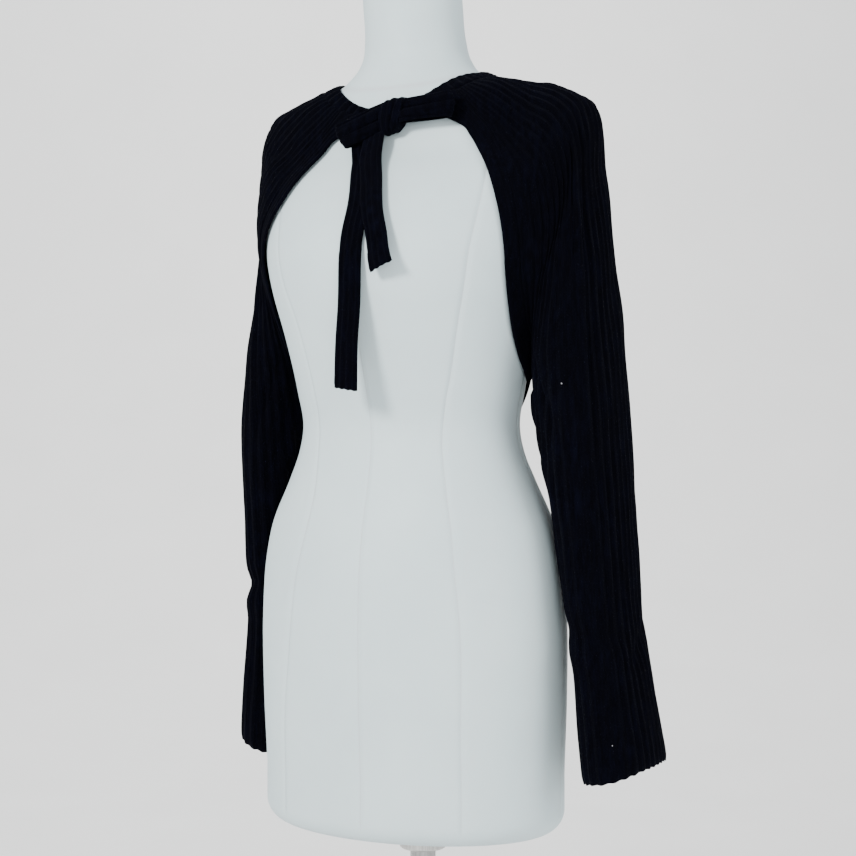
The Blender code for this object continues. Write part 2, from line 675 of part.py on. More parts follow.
def add_torso(surface, parts):
    """The dress form from its rounded lower edge to the top of its neck."""
    angles = np.linspace(0, 2 * math.pi, FORM_SIDES, endpoint=False)
    rings = []
    for turn in np.radians(FORM_EDGE_TURNS):
        inset = FORM_EDGE_RADIUS * (1 - math.sin(turn))
        rings.append((FORM_BOTTOM + FORM_EDGE_RADIUS * (1 - math.cos(turn)), inset))
    rings += [(height, 0.0) for height in form_heights()]
    points, faces = [], []
    for height, inset in rings:
        sizes = [float(smooth_column(FORM_ROWS, c, height)) for c in (1, 2, 3, 4)]
        half_width, middle_y, front, back = sizes
        for angle in angles:
            depth = front if math.cos(angle) > 0 else back
            points.append((
                (half_width - inset) * math.sin(angle),
                middle_y - (depth - inset) * math.cos(angle),
                height,
            ))
    for r in range(len(rings) - 1):
        for s in range(FORM_SIDES):
            low, next_low = r * FORM_SIDES + s, r * FORM_SIDES + (s + 1) % FORM_SIDES
            faces.append((low, next_low, next_low + FORM_SIDES, low + FORM_SIDES))
    faces.append(tuple(range(FORM_SIDES)))
    top = (len(rings) - 1) * FORM_SIDES
    faces.append(tuple(range(top, top + FORM_SIDES)))
    return add_mesh("form_torso", points, faces, surface, parts)


def add_disc(name, radius, thickness, bottom, middle_y, bevel, surface, parts):
    """A flat round piece, its rims rounded by a bevel where one is given."""
    disc = bmesh.new()
    bmesh.ops.create_cone(
        disc, cap_ends=True, segments=TURNED_SIDES, radius1=radius, radius2=radius, depth=thickness
    )
    mesh = bpy.data.meshes.new(name)
    disc.to_mesh(mesh)
    disc.free()
    mesh.materials.append(surface)
    mesh.shade_smooth()
    mesh.set_sharp_from_angle(angle=SHARP_ANGLE)
    made = bpy.data.objects.new(name, mesh)
    made.location = (0, middle_y, bottom + thickness / 2)
    parts.objects.link(made)
    if bevel:
        rim = made.modifiers.new("rounded rims", "BEVEL")
        rim.width = bevel
        rim.segments = 2
        rim.limit_method = "ANGLE"
        rim.angle_limit = math.radians(60)
    return made


def add_stand(surface, parts):
    """The base, the pole and the collar that carries the form."""
    pole_bottom = BASE_THICKNESS + SEAM_GAP
    collar_bottom = FORM_BOTTOM - SEAM_GAP - COLLAR_LENGTH
    add_disc("stand_base", BASE_RADIUS, BASE_THICKNESS, 0, 0, BASE_RIM_RADIUS, surface, parts)
    pole_length = collar_bottom - SEAM_GAP - pole_bottom
    add_disc("stand_pole", POLE_RADIUS, pole_length, pole_bottom, 0, 0, surface, parts)
    collar = (COLLAR_RADIUS, COLLAR_LENGTH, collar_bottom)
    add_disc("stand_collar", *collar, 0, BASE_RIM_RADIUS, surface, parts)


def add_neck_cap(surface, parts):
    height, half_width, middle_y = FORM_ROWS[-1][:3]
    radius = half_width + CAP_OVERHANG
    bottom = height + SEAM_GAP
    add_disc("form_neck_cap", radius, CAP_THICKNESS, bottom, middle_y, BASE_RIM_RADIUS, surface, parts)


def main():
    for old in list(bpy.data.objects):
        bpy.data.objects.remove(old)
    parts = bpy.data.collections.new(COLLECTION)
    bpy.context.scene.collection.children.link(parts)
    knit = material("black_rib_knit", (0.008, 0.009, 0.012), 0.95)
    cover = material("pale_form_cover", (0.72, 0.74, 0.76), 0.55)
    metal = material("brushed_steel", (0.55, 0.55, 0.56), 0.35, 1.0)

    left = yoke_edges(LEFT_EDGE, LEFT_BAND_ANGLES)
    right = yoke_edges(RIGHT_EDGE, RIGHT_BAND_ANGLES)
    add_sleeve("sleeve_left", 1, left, knit, parts)
    add_sleeve("sleeve_right", -1, right, knit, parts)
    add_front_band("front_band_left", 1, left, LEFT_BAND_ANGLES, knit, parts)
    add_front_band("front_band_right", -1, right, RIGHT_BAND_ANGLES, knit, parts)
    panel_rows = back_panel_rows(left)
    add_back_panel(panel_rows, knit, parts)
    add_back_hem_band(left, panel_rows, knit, parts)
    add_neckband(knit, parts)
    add_knot(knit, parts)
    add_loop("bow_loop_left", LEFT_LOOP, knit, parts)
    add_loop("bow_loop_right", RIGHT_LOOP, knit, parts)
    add_tail("tie_tail_long", LONG_TAIL, LONG_TAIL_END_SLOPE, CLOTH_CLEARANCE, knit, parts)
    short_clearance = CLOTH_CLEARANCE + TIE_WALL + RIB_HEIGHT + SEAM_GAP * 3
    add_tail("tie_tail_short", SHORT_TAIL, SHORT_TAIL_END_SLOPE, short_clearance, knit, parts)
    add_torso(cover, parts)
    add_neck_cap(cover, parts)
    add_stand(metal, parts)


main()
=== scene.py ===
"""The looks of the cropped rib-knit cardigan and its dress form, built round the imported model."""

import math

import bmesh
import bpy
import mathutils
import numpy as np
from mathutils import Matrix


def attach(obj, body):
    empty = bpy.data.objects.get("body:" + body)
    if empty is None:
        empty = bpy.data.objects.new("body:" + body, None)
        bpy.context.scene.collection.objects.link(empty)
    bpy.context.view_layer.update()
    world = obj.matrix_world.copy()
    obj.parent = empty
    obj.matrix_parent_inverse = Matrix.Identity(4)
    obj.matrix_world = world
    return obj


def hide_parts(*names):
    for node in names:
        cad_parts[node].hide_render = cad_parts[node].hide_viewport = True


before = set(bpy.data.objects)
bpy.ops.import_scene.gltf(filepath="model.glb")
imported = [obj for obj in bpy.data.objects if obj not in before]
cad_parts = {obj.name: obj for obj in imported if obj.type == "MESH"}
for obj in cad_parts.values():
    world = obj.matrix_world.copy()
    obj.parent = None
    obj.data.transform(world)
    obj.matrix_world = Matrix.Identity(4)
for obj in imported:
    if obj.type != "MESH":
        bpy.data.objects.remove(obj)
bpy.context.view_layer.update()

# Camera and studio
CAMERA_AZIMUTH = math.radians(26)
CAMERA_DISTANCE = 1.75
CAMERA_HEIGHT = 1.03
LENS_MM = 72.12
SENSOR_MM = 36.0
SHIFT_X = 5 / 856

# The dress form, one row for each height. Front and back are depths from the centre line.
FORM_ROWS = (
    # height, half_width, centre_y, front, back
    (0.690, 0.157, -0.022, 0.114, 0.114),
    (0.770, 0.160, -0.023, 0.117, 0.117),
    (0.850, 0.160, -0.024, 0.117, 0.117),
    (0.900, 0.156, -0.025, 0.113, 0.113),
    (0.934, 0.149, -0.026, 0.106, 0.106),
    (0.980, 0.129, -0.027, 0.093, 0.093),
    (1.005, 0.119, -0.028, 0.087, 0.085),
    (1.030, 0.114, -0.028, 0.086, 0.082),
    (1.068, 0.119, -0.027, 0.098, 0.083),
    (1.124, 0.131, -0.025, 0.119, 0.088),
    (1.168, 0.143, -0.024, 0.134, 0.093),
    (1.202, 0.151, -0.023, 0.136, 0.096),
    (1.240, 0.158, -0.020, 0.124, 0.098),
    (1.270, 0.166, -0.016, 0.107, 0.097),
    (1.300, 0.169, -0.010, 0.089, 0.092),
    (1.325, 0.168, -0.007, 0.082, 0.085),
    (1.338, 0.163, -0.007, 0.078, 0.080),
    (1.347, 0.157, -0.008, 0.074, 0.076),
    (1.356, 0.134, -0.009, 0.070, 0.072),
    (1.364, 0.110, -0.011, 0.065, 0.069),
    (1.373, 0.086, -0.012, 0.061, 0.065),
    (1.385, 0.067, -0.013, 0.057, 0.059),
    (1.400, 0.056, -0.014, 0.052, 0.053),
    (1.420, 0.0515, -0.017, 0.050, 0.050),
    (1.455, 0.0505, -0.023, 0.049, 0.049),
    (1.500, 0.0495, -0.030, 0.048, 0.048),
)
FORM_BOTTOM = 0.633
FORM_EDGE_RADIUS = 0.022
FORM_EDGE_RINGS = 12
FORM_RINGS = 205
# The columns between each two seams, from the front round by the wearer's left
FORM_PANEL_COLUMNS = (22, 18, 18, 20, 20, 18, 18, 22)
CAP_THICKNESS = 0.012
CAP_OVERHANG = 0.002

# The stand
BASE_RADIUS = 0.150
BASE_THICKNESS = 0.012
BASE_RIM_RADIUS = 0.003
POLE_RADIUS = 0.013
POLE_RIM_RADIUS = 0.0006
COLLAR_RADIUS = 0.024
COLLAR_LENGTH = 0.030
RIM_STEPS = 5
TURNED_SIDES = 96
SHARP_ANGLE = math.radians(40)

# The cloth
TINY = 1e-12
SLOPE_STEP = 1e-4
LEAST_SLOPE = 1e-6
WALL = 0.0022
RIB_HEIGHT = 0.0016
RIBS_ROUND_SLEEVE = 28
RIB_PITCH = 0.0115
CLOTH_CLEARANCE = 0.0026
CLEARING_STEPS = 12
LONGEST_CLEARING_MOVE = 0.004
SEAM_GAP = 0.0003
BAND_WIDTH = 0.017
BAND_STEPS = 4
FOLD_LIFT = 0.0095
YOKE_STEPS = 14
HANG_STEPS = 7
LAST_OPEN = 0.97
EDGE_SPREAD = 0.18
NECK_GAP_ANGLE = 0.004
PATH_SAMPLES = 90
EDGE_LOOK = 0.03

# The opening's edge on each side, from the neckband to the underarm
LEFT_EDGE = (
    # along, x, y, z
    (0.00, 0.040, -0.086, 1.332),
    (0.14, 0.078, -0.086, 1.323),
    (0.28, 0.102, -0.091, 1.296),
    (0.42, 0.119, -0.098, 1.260),
    (0.56, 0.128, -0.097, 1.215),
    (0.70, 0.128, -0.086, 1.165),
    (0.84, 0.124, -0.058, 1.112),
    (1.00, 0.117, -0.014, 1.068),
)
RIGHT_EDGE = (
    # along, x, y, z, with the left one's last rows
    (0.00, 0.010, -0.090, 1.329),
    (0.14, 0.047, -0.095, 1.317),
    (0.28, 0.075, -0.107, 1.286),
    (0.42, 0.098, -0.116, 1.248),
    (0.56, 0.124, -0.105, 1.210),
    *LEFT_EDGE[5:],
)
# The sleeve's back seam, from the neckband to the underarm
BACK_SEAM = (
    # along, x, y, z
    (0.00, 0.034, 0.060, 1.376),
    (0.20, 0.062, 0.075, 1.350),
    (0.40, 0.092, 0.085, 1.290),
    (0.60, 0.112, 0.078, 1.215),
    (0.80, 0.122, 0.056, 1.140),
    (1.00, 0.120, 0.022, 1.079),
)
# The line over each shoulder's top and down to the underarm's level
LEFT_SHOULDER = (
    # along, x, y, z
    (0.00, 0.094, -0.010, 1.372),
    (0.20, 0.128, -0.006, 1.366),
    (0.38, 0.159, -0.002, 1.359),
    (0.50, 0.1795, 0.002, 1.344),
    (0.58, 0.185, 0.004, 1.315),
    (0.68, 0.186, 0.004, 1.265),
    (0.82, 0.195, 0.004, 1.185),
    (1.00, 0.2095, 0.006, 1.079),
)
RIGHT_SHOULDER = (
    # along, x, y, z
    (0.00, 0.094, -0.010, 1.372),
    (0.20, 0.128, -0.006, 1.361),
    (0.38, 0.156, 0.000, 1.350),
    (0.50, 0.169, 0.010, 1.336),
    (0.58, 0.172, 0.018, 1.312),
    (0.68, 0.173, 0.028, 1.265),
    (0.82, 0.185, 0.032, 1.185),
    (1.00, 0.2130, 0.026, 1.079),
)
# How each row leaves its edge: a turn of 0 runs along the form, and 1 runs straight forwards or
# back. The reaches are the lengths of the row's leading directions at its edge and its top.
ROW_SHAPES = (
    # along, turn, edge_reach, outer_reach
    (0.00, 0.0, 0.040, 0.040),
    (0.30, 0.1, 0.050, 0.060),
    (0.55, 0.15, 0.045, 0.070),
    (0.80, 0.45, 0.055, 0.085),
    (1.00, 1.0, 0.090, 0.094),
)
# How much shorter the right sleeve's front reaches are at the neck, fading to none at the underarm
RIGHT_FRONT_LESS = 0.8
# The hanging sleeves' rings, a row for each level from the underarm down
HANG_ROWS = (
    # level, left_x, left_y, right_x, right_y, across, deep
    (1.079, 0.1700, 0.004, 0.1770, 0.025, 0.0420, 0.0700),
    (1.016, 0.1780, 0.002, 0.1880, 0.033, 0.0350, 0.0665),
    (0.950, 0.1862, -0.001, 0.1905, 0.041, 0.0318, 0.0630),
    (0.887, 0.1925, -0.003, 0.1873, 0.047, 0.0297, 0.0605),
    (0.788, 0.2062, -0.003, 0.1920, 0.050, 0.0296, 0.0565),
    (0.692, 0.2180, -0.003, 0.1960, 0.052, 0.0322, 0.0625),
)
# How the rows near the underarm ease into each other
EASE = 0.6
EASE_POWER = 0.5
EASE_ROWS = 4
EASE_PASSES = 6
HEM_RISE = 0.019
RIGHT_HEM_DROP = 0.009
HEM_RISE_LENGTH = 0.120
HEM_LOW_SHARE = 0.15
# The lead of a half ring's curve, as a share of its depth, that brings its front to that depth
HALF_RING_LEAD = 4 / 3

# The back panel
BACK_HEM = 1.000
BACK_RIBS = 18
BACK_ROW_RISE_POWER = 2.4

# The neckband: angles run from the front, through the wearer's left, to the back
LEFT_BAND_ANGLES = (25.0, 45.0)
RIGHT_BAND_ANGLES = (6.0, 30.0)
FIRST_FREE_EDGE = 0.15
BACK_SEAM_ANGLE = 158.8
NECKBAND_LEFT_END = 19.2
NECKBAND_RIGHT_END = -1.0
NECKBAND_RIBS = 56
# Each ring of the neckband: half_width, front_y, back_y, front_z, side_z, back_z
NECK_SEAM = (0.094, -0.0885, 0.0620, 1.330, 1.373, 1.378)
NECK_FREE_EDGE = (0.077, -0.0800, 0.0500, 1.339, 1.381, 1.395)
# The free edge rests on the form wherever it would sink into it
NECK_EDGE_CLEARANCE = 0.0009

# The bow and its tails
KNOT_CENTRE = (0.0180, -0.1013, 1.3300)
KNOT_HALF = (0.0122, 0.0118, 0.0165)
KNOT_BOXINESS = 0.72
TIE_WIDTH = 0.0240
TIE_WALL = 0.0022
TIE_RIBS = 4
# Each loop: side, length, thickness, then in degrees its tilt up, its end's lean and its turn back
LEFT_LOOP = (1.0, 0.053, 0.0195, 11.0, 0.0, 8.0)
RIGHT_LOOP = (-1.0, 0.046, 0.0195, -20.5, -25.0, -12.0)
LOOP_Y = -0.1040
# A loop's thickness at the knot and the tie's width in it, as shares of their own
LOOP_ROOT = 0.55
LOOP_WIDTH = 1.15
LONG_TAIL = (
    # along, x, y, z, turn
    (0.00, -0.0135, -0.1049, 1.3068, 8.0),
    (0.12, -0.0050, -0.1180, 1.2740, 6.0),
    (0.30, 0.0035, -0.1450, 1.2390, 2.0),
    (0.50, 0.0045, -0.1640, 1.1960, 0.0),
    (0.75, 0.0022, -0.1650, 1.1300, 0.0),
    (1.00, -0.0017, -0.1640, 1.0660, -2.0),
)
SHORT_TAIL = (
    # along, x, y, z, turn
    (0.00, 0.0000, -0.1085, 1.3102, 4.0),
    (0.25, 0.0060, -0.1270, 1.2800, 2.0),
    (0.60, 0.0248, -0.1580, 1.2290, -4.0),
    (1.00, 0.0405, -0.1720, 1.1785, -8.0),
)
# The slope of the tails' top edges, which follow the right loop's lower edge, and of each lower end
TAIL_TOP_SLOPE = 0.445
LONG_TAIL_END_SLOPE = -0.15
SHORT_TAIL_END_SLOPE = 0.40
TAIL_SLOPE_FADE = 5
TAIL_STEPS = 61

# The finer shells
# A row past the last of any grid, for a grid without closed rings
NO_RINGS = 10**6
SLEEVE_ROWS = 8
SLEEVE_COLUMNS = 4
SETTLE_ROWS = 2
YOKE_EDGE_POWER = 0.5
SLEEVE_GIRTH = 0.30
SLEEVE_LENGTH = 0.75
RIB_ROUNDNESS = 0.9
RIB_SWAY = 0.05
RIB_SWELL = 0.10
RIB_SWAY_RATES = (3.1, 7.3, 13.7)
RIB_RISE_LIMITS = (0.15, 1.15)
SHELL_WALL = 0.0016
SHELL_RIB = 0.0022
INSIDE_RIB = 0.45
RIM_LEAST = 0.45
HEM_SCALLOP = 0.0012
HEM_SHARE = 0.8
HEM_WAVE = 0.0009
# Waves round a cuff: times round, turn for each seed, share of the height
HEM_WAVES = ((3, 0.12, 1.0), (5, 0.3, 0.6))
FOLD_FADE = 1.15
# Slow waves over the cloth: their number, and the limits of their rates down and round, and shares
WAVES = 7
WAVE_RATES = (2, 9)
WAVE_TIMES = (0, 4)
WAVE_SHARES = (0.4, 1)
WAVE_HEIGHT = 0.0022
STITCHES_IN_RIB = 4
STITCHES_IN_BAND = 1
STITCHES_IN_TIE = 2
STITCH_ROW = 0.0026
# The plain bands, the neckband and the back panel
BAND_ROWS = 10
HEM_BAND_ROWS = 4
BAND_COLUMNS = 6
BAND_RIBS = 4
BAND_SHELL = 0.0024
BAND_RIB = 0.0006
NECKBAND_FINE = 4
NECKBAND_SHARES = (-0.10, 0.35, 0.7, 1.0)
NECKBAND_WAVE = 0.0012
NECKBAND_RIB = 0.0016
NECKBAND_SEED = 5
BACK_ROWS = 10
BACK_COLUMNS = 8
BACK_SIDE_POWER = 0.4
BACK_END_POWER = 0.5
BACK_WAVE_SEED = 11
BACK_RIB_SEED = 12
# Folds: start across, start down, end across, end down, half width, height
LEFT_FOLDS = (
    (0.05, 0.58, 0.05, 0.74, 0.0260, 0.0032),
    (0.335, 0.34, 0.305, 0.74, 0.0045, 0.0030),
    (0.375, 0.36, 0.345, 0.74, 0.0050, -0.0016),
    (0.02, 0.872, 0.42, 0.880, 0.0080, -0.0026),
    (0.02, 0.892, 0.38, 0.895, 0.0080, 0.0016),
    (0.40, 0.905, 0.62, 0.870, 0.0070, -0.0035),
    (0.08, 0.60, 0.24, 0.72, 0.0070, -0.0040),
    (0.04, 0.66, 0.20, 0.78, 0.0070, 0.0035),
    (0.86, 0.62, 0.72, 0.74, 0.0080, -0.0040),
    (0.92, 0.66, 0.78, 0.80, 0.0080, 0.0030),
    (0.60, 0.86, 0.96, 0.88, 0.0080, -0.0035),
    (0.45, 0.22, 0.55, 0.32, 0.0120, -0.0020),
)
RIGHT_FOLDS = (
    (0.50, 0.24, 0.50, 0.37, 0.0450, 0.0042),
    (0.50, 0.52, 0.50, 0.84, 0.0450, 0.0020),
    (0.26, 0.40, 0.24, 0.70, 0.0050, 0.0026),
    (0.03, 0.840, 0.44, 0.850, 0.0080, -0.0045),
    (0.03, 0.862, 0.40, 0.866, 0.0080, 0.0028),
    (0.10, 0.60, 0.26, 0.72, 0.0070, -0.0035),
    (0.05, 0.67, 0.20, 0.79, 0.0070, 0.0035),
    (0.86, 0.62, 0.72, 0.74, 0.0080, -0.0040),
    (0.58, 0.84, 0.95, 0.86, 0.0080, -0.0035),
)
# The form's seams: height, and distance from the middle
LEFT_PRINCESS = (
    (0.633, 0.095), (0.715, 0.095), (0.851, 0.095), (0.903, 0.089), (0.936, 0.084), (0.969, 0.076),
    (1.028, 0.068), (1.056, 0.073), (1.074, 0.078), (1.132, 0.092), (1.158, 0.099), (1.197, 0.106),
    (1.224, 0.110), (1.270, 0.112), (1.330, 0.100), (1.361, 0.062), (1.390, 0.034), (1.500, 0.028),
)
RIGHT_PRINCESS = (
    (0.633, 0.096), (0.744, 0.095), (0.810, 0.087), (0.877, 0.079), (0.962, 0.064), (1.008, 0.066),
    (1.055, 0.066), (1.098, 0.070), (1.149, 0.080), (1.175, 0.089), (1.220, 0.097), (1.270, 0.104),
    (1.330, 0.096), (1.361, 0.062), (1.390, 0.034), (1.500, 0.028),
)
# The bow: its strip's wall and ribs, and how its parts curl
TIE_SHELL = 0.0022
TIE_RIB = 0.0009
TIE_COLUMNS = 8 * TIE_RIBS + 1
KNOT_SIDES = 120
KNOT_RINGS = 41
KNOT_ROUNDING = 2.6
KNOT_WAIST = 0.62
KNOT_SLANT = 0.0042
KNOT_TILT = 0.0025
KNOT_RIB = 0.0007
KNOT_FOLD = 0.0012
KNOT_FOLD_PLACE = 0.25
KNOT_FOLD_SWAY = 0.2
KNOT_FOLD_WIDTH = 0.12
KNOT_STITCH_CELLS = (5, 3)
LOOP_STEPS = 73
LOOP_END_POWER = 0.62
LOOP_BEND_POWER = 0.55
LOOP_SPREAD = 1.6
LOOP_WALL = 0.0034
LOOP_IN_KNOT = 0.0025
LOOP_CREASE = 0.0018
LOOP_CREASES = 2.2
LOOP_CREASE_FADE = 0.6
LOOP_STAGGER = 0.0018
LOOP_STAGGER_FROM = 0.4
LOOP_RIB = 0.0007
LOOP_ROLL = 0.0035
LOOP_CLOSED = 0.55
TAIL_NARROW = 0.96
TAIL_FLARE = 0.05
TAIL_FLARE_RATE = 6
TAIL_SWAY = 0.0006
TAIL_SWAYS = 2.7
TAIL_CUP = 0.0022
TAIL_CUP_RATE = 4
TAIL_SCALLOP = 0.0007
TAIL_SCALLOP_RATE = 12
SHORT_TAIL_CLEARANCE = CLOTH_CLEARANCE + TIE_WALL + RIB_HEIGHT + SEAM_GAP * 3
BAND_TUCK = 0.0020
UNDERARM_TUCK = 0.020
LEFT_LOOP_GATHERED = 0.0075
BACK_TUCK = 0.0014
UNDERARM_BACK_TUCK = 0.010
# Half a groove's width, as an angle at the form's usual half width
FORM_SEAM_ANGLE = 0.0011 / 0.15
FORM_SEAM_DEPTH = 0.0007
FORM_SEAM_LOW = FORM_BOTTOM + 0.012
FORM_SEAM_TOP = 1.36
FORM_SEAM_FADE = 0.01
WIDEST_SEAM = 0.95
SIDE_SEAM = math.pi / 2 + 0.06
BACK_PRINCESS = math.pi - 0.52
NECK_BASE_SEAM = 1.364
NECK_SEAM_LIFT = 0.018
NECK_SEAM_SPREAD = 0.03
# Surfaces
KNIT_DARK = (0.0003, 0.0003, 0.0010)
KNIT_LIGHT = (0.0010, 0.0012, 0.0038)
# A painted highlight on the knit's stitch crests, which leaves painted shade between the stitches
KNIT_CREST_PAINTED_HIGHLIGHT = (0.0016, 0.0019, 0.0050)
KNIT_FIBRE = (0.0026, 0.0028, 0.0056)
KNIT_GLOSS = 0.022
KNIT_SHEEN = 0.010
KNIT_SHEEN_ROUGHNESS = 0.6
KNIT_SHEEN_TINT = (0.45, 0.48, 0.80)
FUZZ_DEPTH = 0.0005
PILL_DEPTH = 0.0003
LINT = (0.28, 0.28, 0.30)
COVER_DARK = (0.520, 0.625, 0.650)
COVER_LIGHT = (0.580, 0.690, 0.705)
COVER_SCUFF = (0.62, 0.64, 0.64)
COVER_MARK = (0.25, 0.25, 0.25)
COVER_SEAM = (0.50, 0.53, 0.56)
COVER_GLOSS = 0.35
STEEL_DARK = (0.42, 0.42, 0.41)
STEEL_LIGHT = (0.60, 0.60, 0.58)
# The studio
WALL_BEHIND = 6.0
WALL_HEIGHT = 7.0
STUDIO_HALF_WIDTH = 8.0
WALL_DARK = (0.92, 0.92, 0.91)
WALL_LIGHT = (0.95, 0.95, 0.94)
COVE_RADIUS = 3.0
COVE_STEPS = 33
LIGHTS_AIM = 1.05
# The wall's lamp: its target's place sideways, its own place ahead and height, the target's height,
# size, power, colour
WALL_LAMP = (-1.8, 2.0, 4.2, 1.3, 2.0, 170.0, (1.0, 1.0, 0.99))
LIGHTS = (
    # name, to the right of the camera's line, towards the camera, height, size, power, colour
    ("key", -1.5, 1.9, 2.1, 0.6, 84.0, (1.0, 0.99, 0.97)),
    ("fill", 2.0, 1.5, 1.7, 1.1, 24.0, (0.96, 0.98, 1.0)),
    ("front", 0.5, 2.2, 1.35, 0.9, 14.0, (1.0, 1.0, 1.0)),
)
WORLD_COLOUR = (0.95, 0.97, 1.0)
WORLD_STRENGTH = 0.95


def smooth_column(table, column, along):
    """A column of a table, joined by a smooth curve through its rows."""
    keys = np.array([row[0] for row in table], float)
    values = np.array([row[column] for row in table], float)
    if keys[0] > keys[-1]:
        keys, values = keys[::-1], values[::-1]
    steps = np.diff(keys)
    slopes = np.diff(values) / steps
    tangents = np.empty(len(keys))
    tangents[0], tangents[-1] = slopes[0], slopes[-1]
    before, after = steps[:-1], steps[1:]
    tangents[1:-1] = (slopes[:-1] * after + slopes[1:] * before) / (before + after)
    along = np.clip(np.asarray(along, float), keys[0], keys[-1])
    i = np.clip(np.searchsorted(keys, along, side="right") - 1, 0, len(steps) - 1)
    h = steps[i]
    t = (along - keys[i]) / h
    return (
        (2 * t**3 - 3 * t**2 + 1) * values[i]
        + (t**3 - 2 * t**2 + t) * h * tangents[i]
        + (3 * t**2 - 2 * t**3) * values[i + 1]
        + (t**3 - t**2) * h * tangents[i + 1]
    )


def curve_point(table, along):
    return np.stack([smooth_column(table, c, along) for c in (1, 2, 3)], axis=-1)


def unit(vectors):
    return vectors / np.maximum(np.linalg.norm(vectors, axis=-1, keepdims=True), TINY)


def form_reach(points):
    """Above 1 outside the form's surface, below 1 inside it."""
    z = points[..., 2]
    y = points[..., 1] - smooth_column(FORM_ROWS, 2, z)
    depth = np.where(y < 0, smooth_column(FORM_ROWS, 3, z), smooth_column(FORM_ROWS, 4, z))
    return np.hypot(points[..., 0] / smooth_column(FORM_ROWS, 1, z), y / depth)


def form_slope(points):
    sides = []
    for axis in np.eye(3) * SLOPE_STEP:
        sides.append((form_reach(points + axis) - form_reach(points - axis)) / (2 * SLOPE_STEP))
    return np.stack(sides, axis=-1)


def at_clearance(points, clearance, longest_in):
    """The points moved straight out to the clearance, and straight in by no more than a length a step."""
    points = np.array(points, float)
    for _ in range(CLEARING_STEPS):
        slope = form_slope(points)
        steep = np.maximum(np.linalg.norm(slope, axis=-1), LEAST_SLOPE)
        move = clearance - (form_reach(points) - 1) / steep
        points += unit(slope) * np.clip(move, -longest_in, LONGEST_CLEARING_MOVE)[..., None]
    return points


def outside_form(points, clearance=CLOTH_CLEARANCE):
    return at_clearance(points, clearance, 0.0)


def on_form(points):
    return at_clearance(points, CLOTH_CLEARANCE, LONGEST_CLEARING_MOVE)


def ring_point(ring, angle):
    """A point of a ring round the neck, at an angle from the front."""
    half_width, front_y, back_y, front_z, side_z, back_z = ring
    cosine = np.cos(angle)
    middle_y, half_depth = (front_y + back_y) / 2, (back_y - front_y) / 2
    end_z = np.where(cosine > 0, front_z, back_z)
    z = side_z + (end_z - side_z) * cosine**2
    return np.stack([half_width * np.sin(angle), middle_y - half_depth * cosine, z], axis=-1)


def neck_seam(angle):
    return on_form(ring_point(NECK_SEAM, angle))


def bezier(start, lead, trail, end):
    t = np.linspace(0, 1, PATH_SAMPLES)[..., None]
    return (1 - t) ** 3 * start + 3 * (1 - t) ** 2 * t * lead + 3 * (1 - t) * t**2 * trail + t**3 * end


def path_lengths(path):
    return np.concatenate([[0], np.cumsum(np.linalg.norm(np.diff(path, axis=0), axis=1))])


def spaced(path, share):
    """Points of a sampled path, at shares of its length."""
    length = path_lengths(path)
    return np.stack([np.interp(share * length[-1], length, path[:, c]) for c in range(3)], axis=1)


def rib_places(path):
    """Points from a sampled path's start: a rib's pitch apart at first, crowding towards its end."""
    crowding = max(1.0, RIBS_ROUND_SLEEVE * RIB_PITCH / 2 / path_lengths(path)[-1])
    share = np.linspace(0, 1, RIBS_ROUND_SLEEVE + 1)
    return spaced(path, (1 - EDGE_SPREAD) * (1 - (1 - share) ** crowding) + EDGE_SPREAD * share)


def half_row(edge, across, top, shape, forwards):
    """Points from the shoulder line to one edge of an open row, lifted clear where it bends."""
    turn, edge_reach, outer_reach = shape
    side = np.array([0.0, forwards, 0.0])
    leave = unit(across * (1 - turn) + side * turn)
    bend = math.acos(float(np.clip(leave @ across, -1, 1)))
    sideways = SEAM_GAP + (WALL + RIB_HEIGHT) * math.sin(bend)
    lift = FOLD_LIFT * (1 - math.cos(bend)) / 2
    start = edge + across * sideways + unit(form_slope(edge)) * lift
    path = bezier(top, top + side * outer_reach, start + leave * edge_reach, start)
    return rib_places(outside_form(path))


def edge_frame(table, along):
    """Points of an edge on the form, and the direction there across the edge, over the cloth."""
    edge = on_form(curve_point(table, along))
    before = curve_point(table, np.maximum(along - EDGE_LOOK, 0))
    ahead = curve_point(table, np.minimum(along + EDGE_LOOK, 1)) - before
    return edge, unit(np.cross(unit(form_slope(edge)), unit(ahead)))


def yoke_edges(table, band_angles):
    """The opening's edge, the band's seam and the back seam, at each row and at the band's end."""
    rows = np.arange(YOKE_STEPS)
    forward = FIRST_FREE_EDGE + (1 - FIRST_FREE_EDGE) * (rows - 1) / (YOKE_STEPS - 1)
    opening, across = edge_frame(table, np.append(forward, LAST_OPEN))
    front = on_form(opening + across * BAND_WIDTH)
    opening[0], front[0] = neck_seam(np.radians(band_angles))
    back, back_across = edge_frame(BACK_SEAM, np.append(rows / YOKE_STEPS, LAST_OPEN))
    back[0] = neck_seam(math.radians(BACK_SEAM_ANGLE))
    return opening, front, across, back, -back_across


def hanging_row(level, side):
    """One closed ring of a hanging sleeve, starting and ending at its innermost point."""
    first = 1 if side > 0 else 3
    x, y, across, deep = (float(smooth_column(HANG_ROWS, c, level)) for c in (first, first + 1, 5, 6))
    inner, outer = np.array([x - across, y, level]), np.array([x + across, y, level])
    share = np.linspace(0, 1, RIBS_ROUND_SLEEVE + 1)
    halves = []
    for forwards in (-1.0, 1.0):
        lead = np.array([0.0, forwards * deep * HALF_RING_LEAD, 0.0])
        halves.append(spaced(bezier(outer, outer + lead, inner + lead, inner), share))
    ring = np.concatenate([halves[0][::-1], halves[1][1:]])
    rise = max(0.0, 1 - (level - HANG_ROWS[-1][0]) / HEM_RISE_LENGTH) * HEM_RISE
    ring[:, 2] += rise * ((ring[:, 0] - x + across) / (2 * across) - HEM_LOW_SHARE)
    return ring


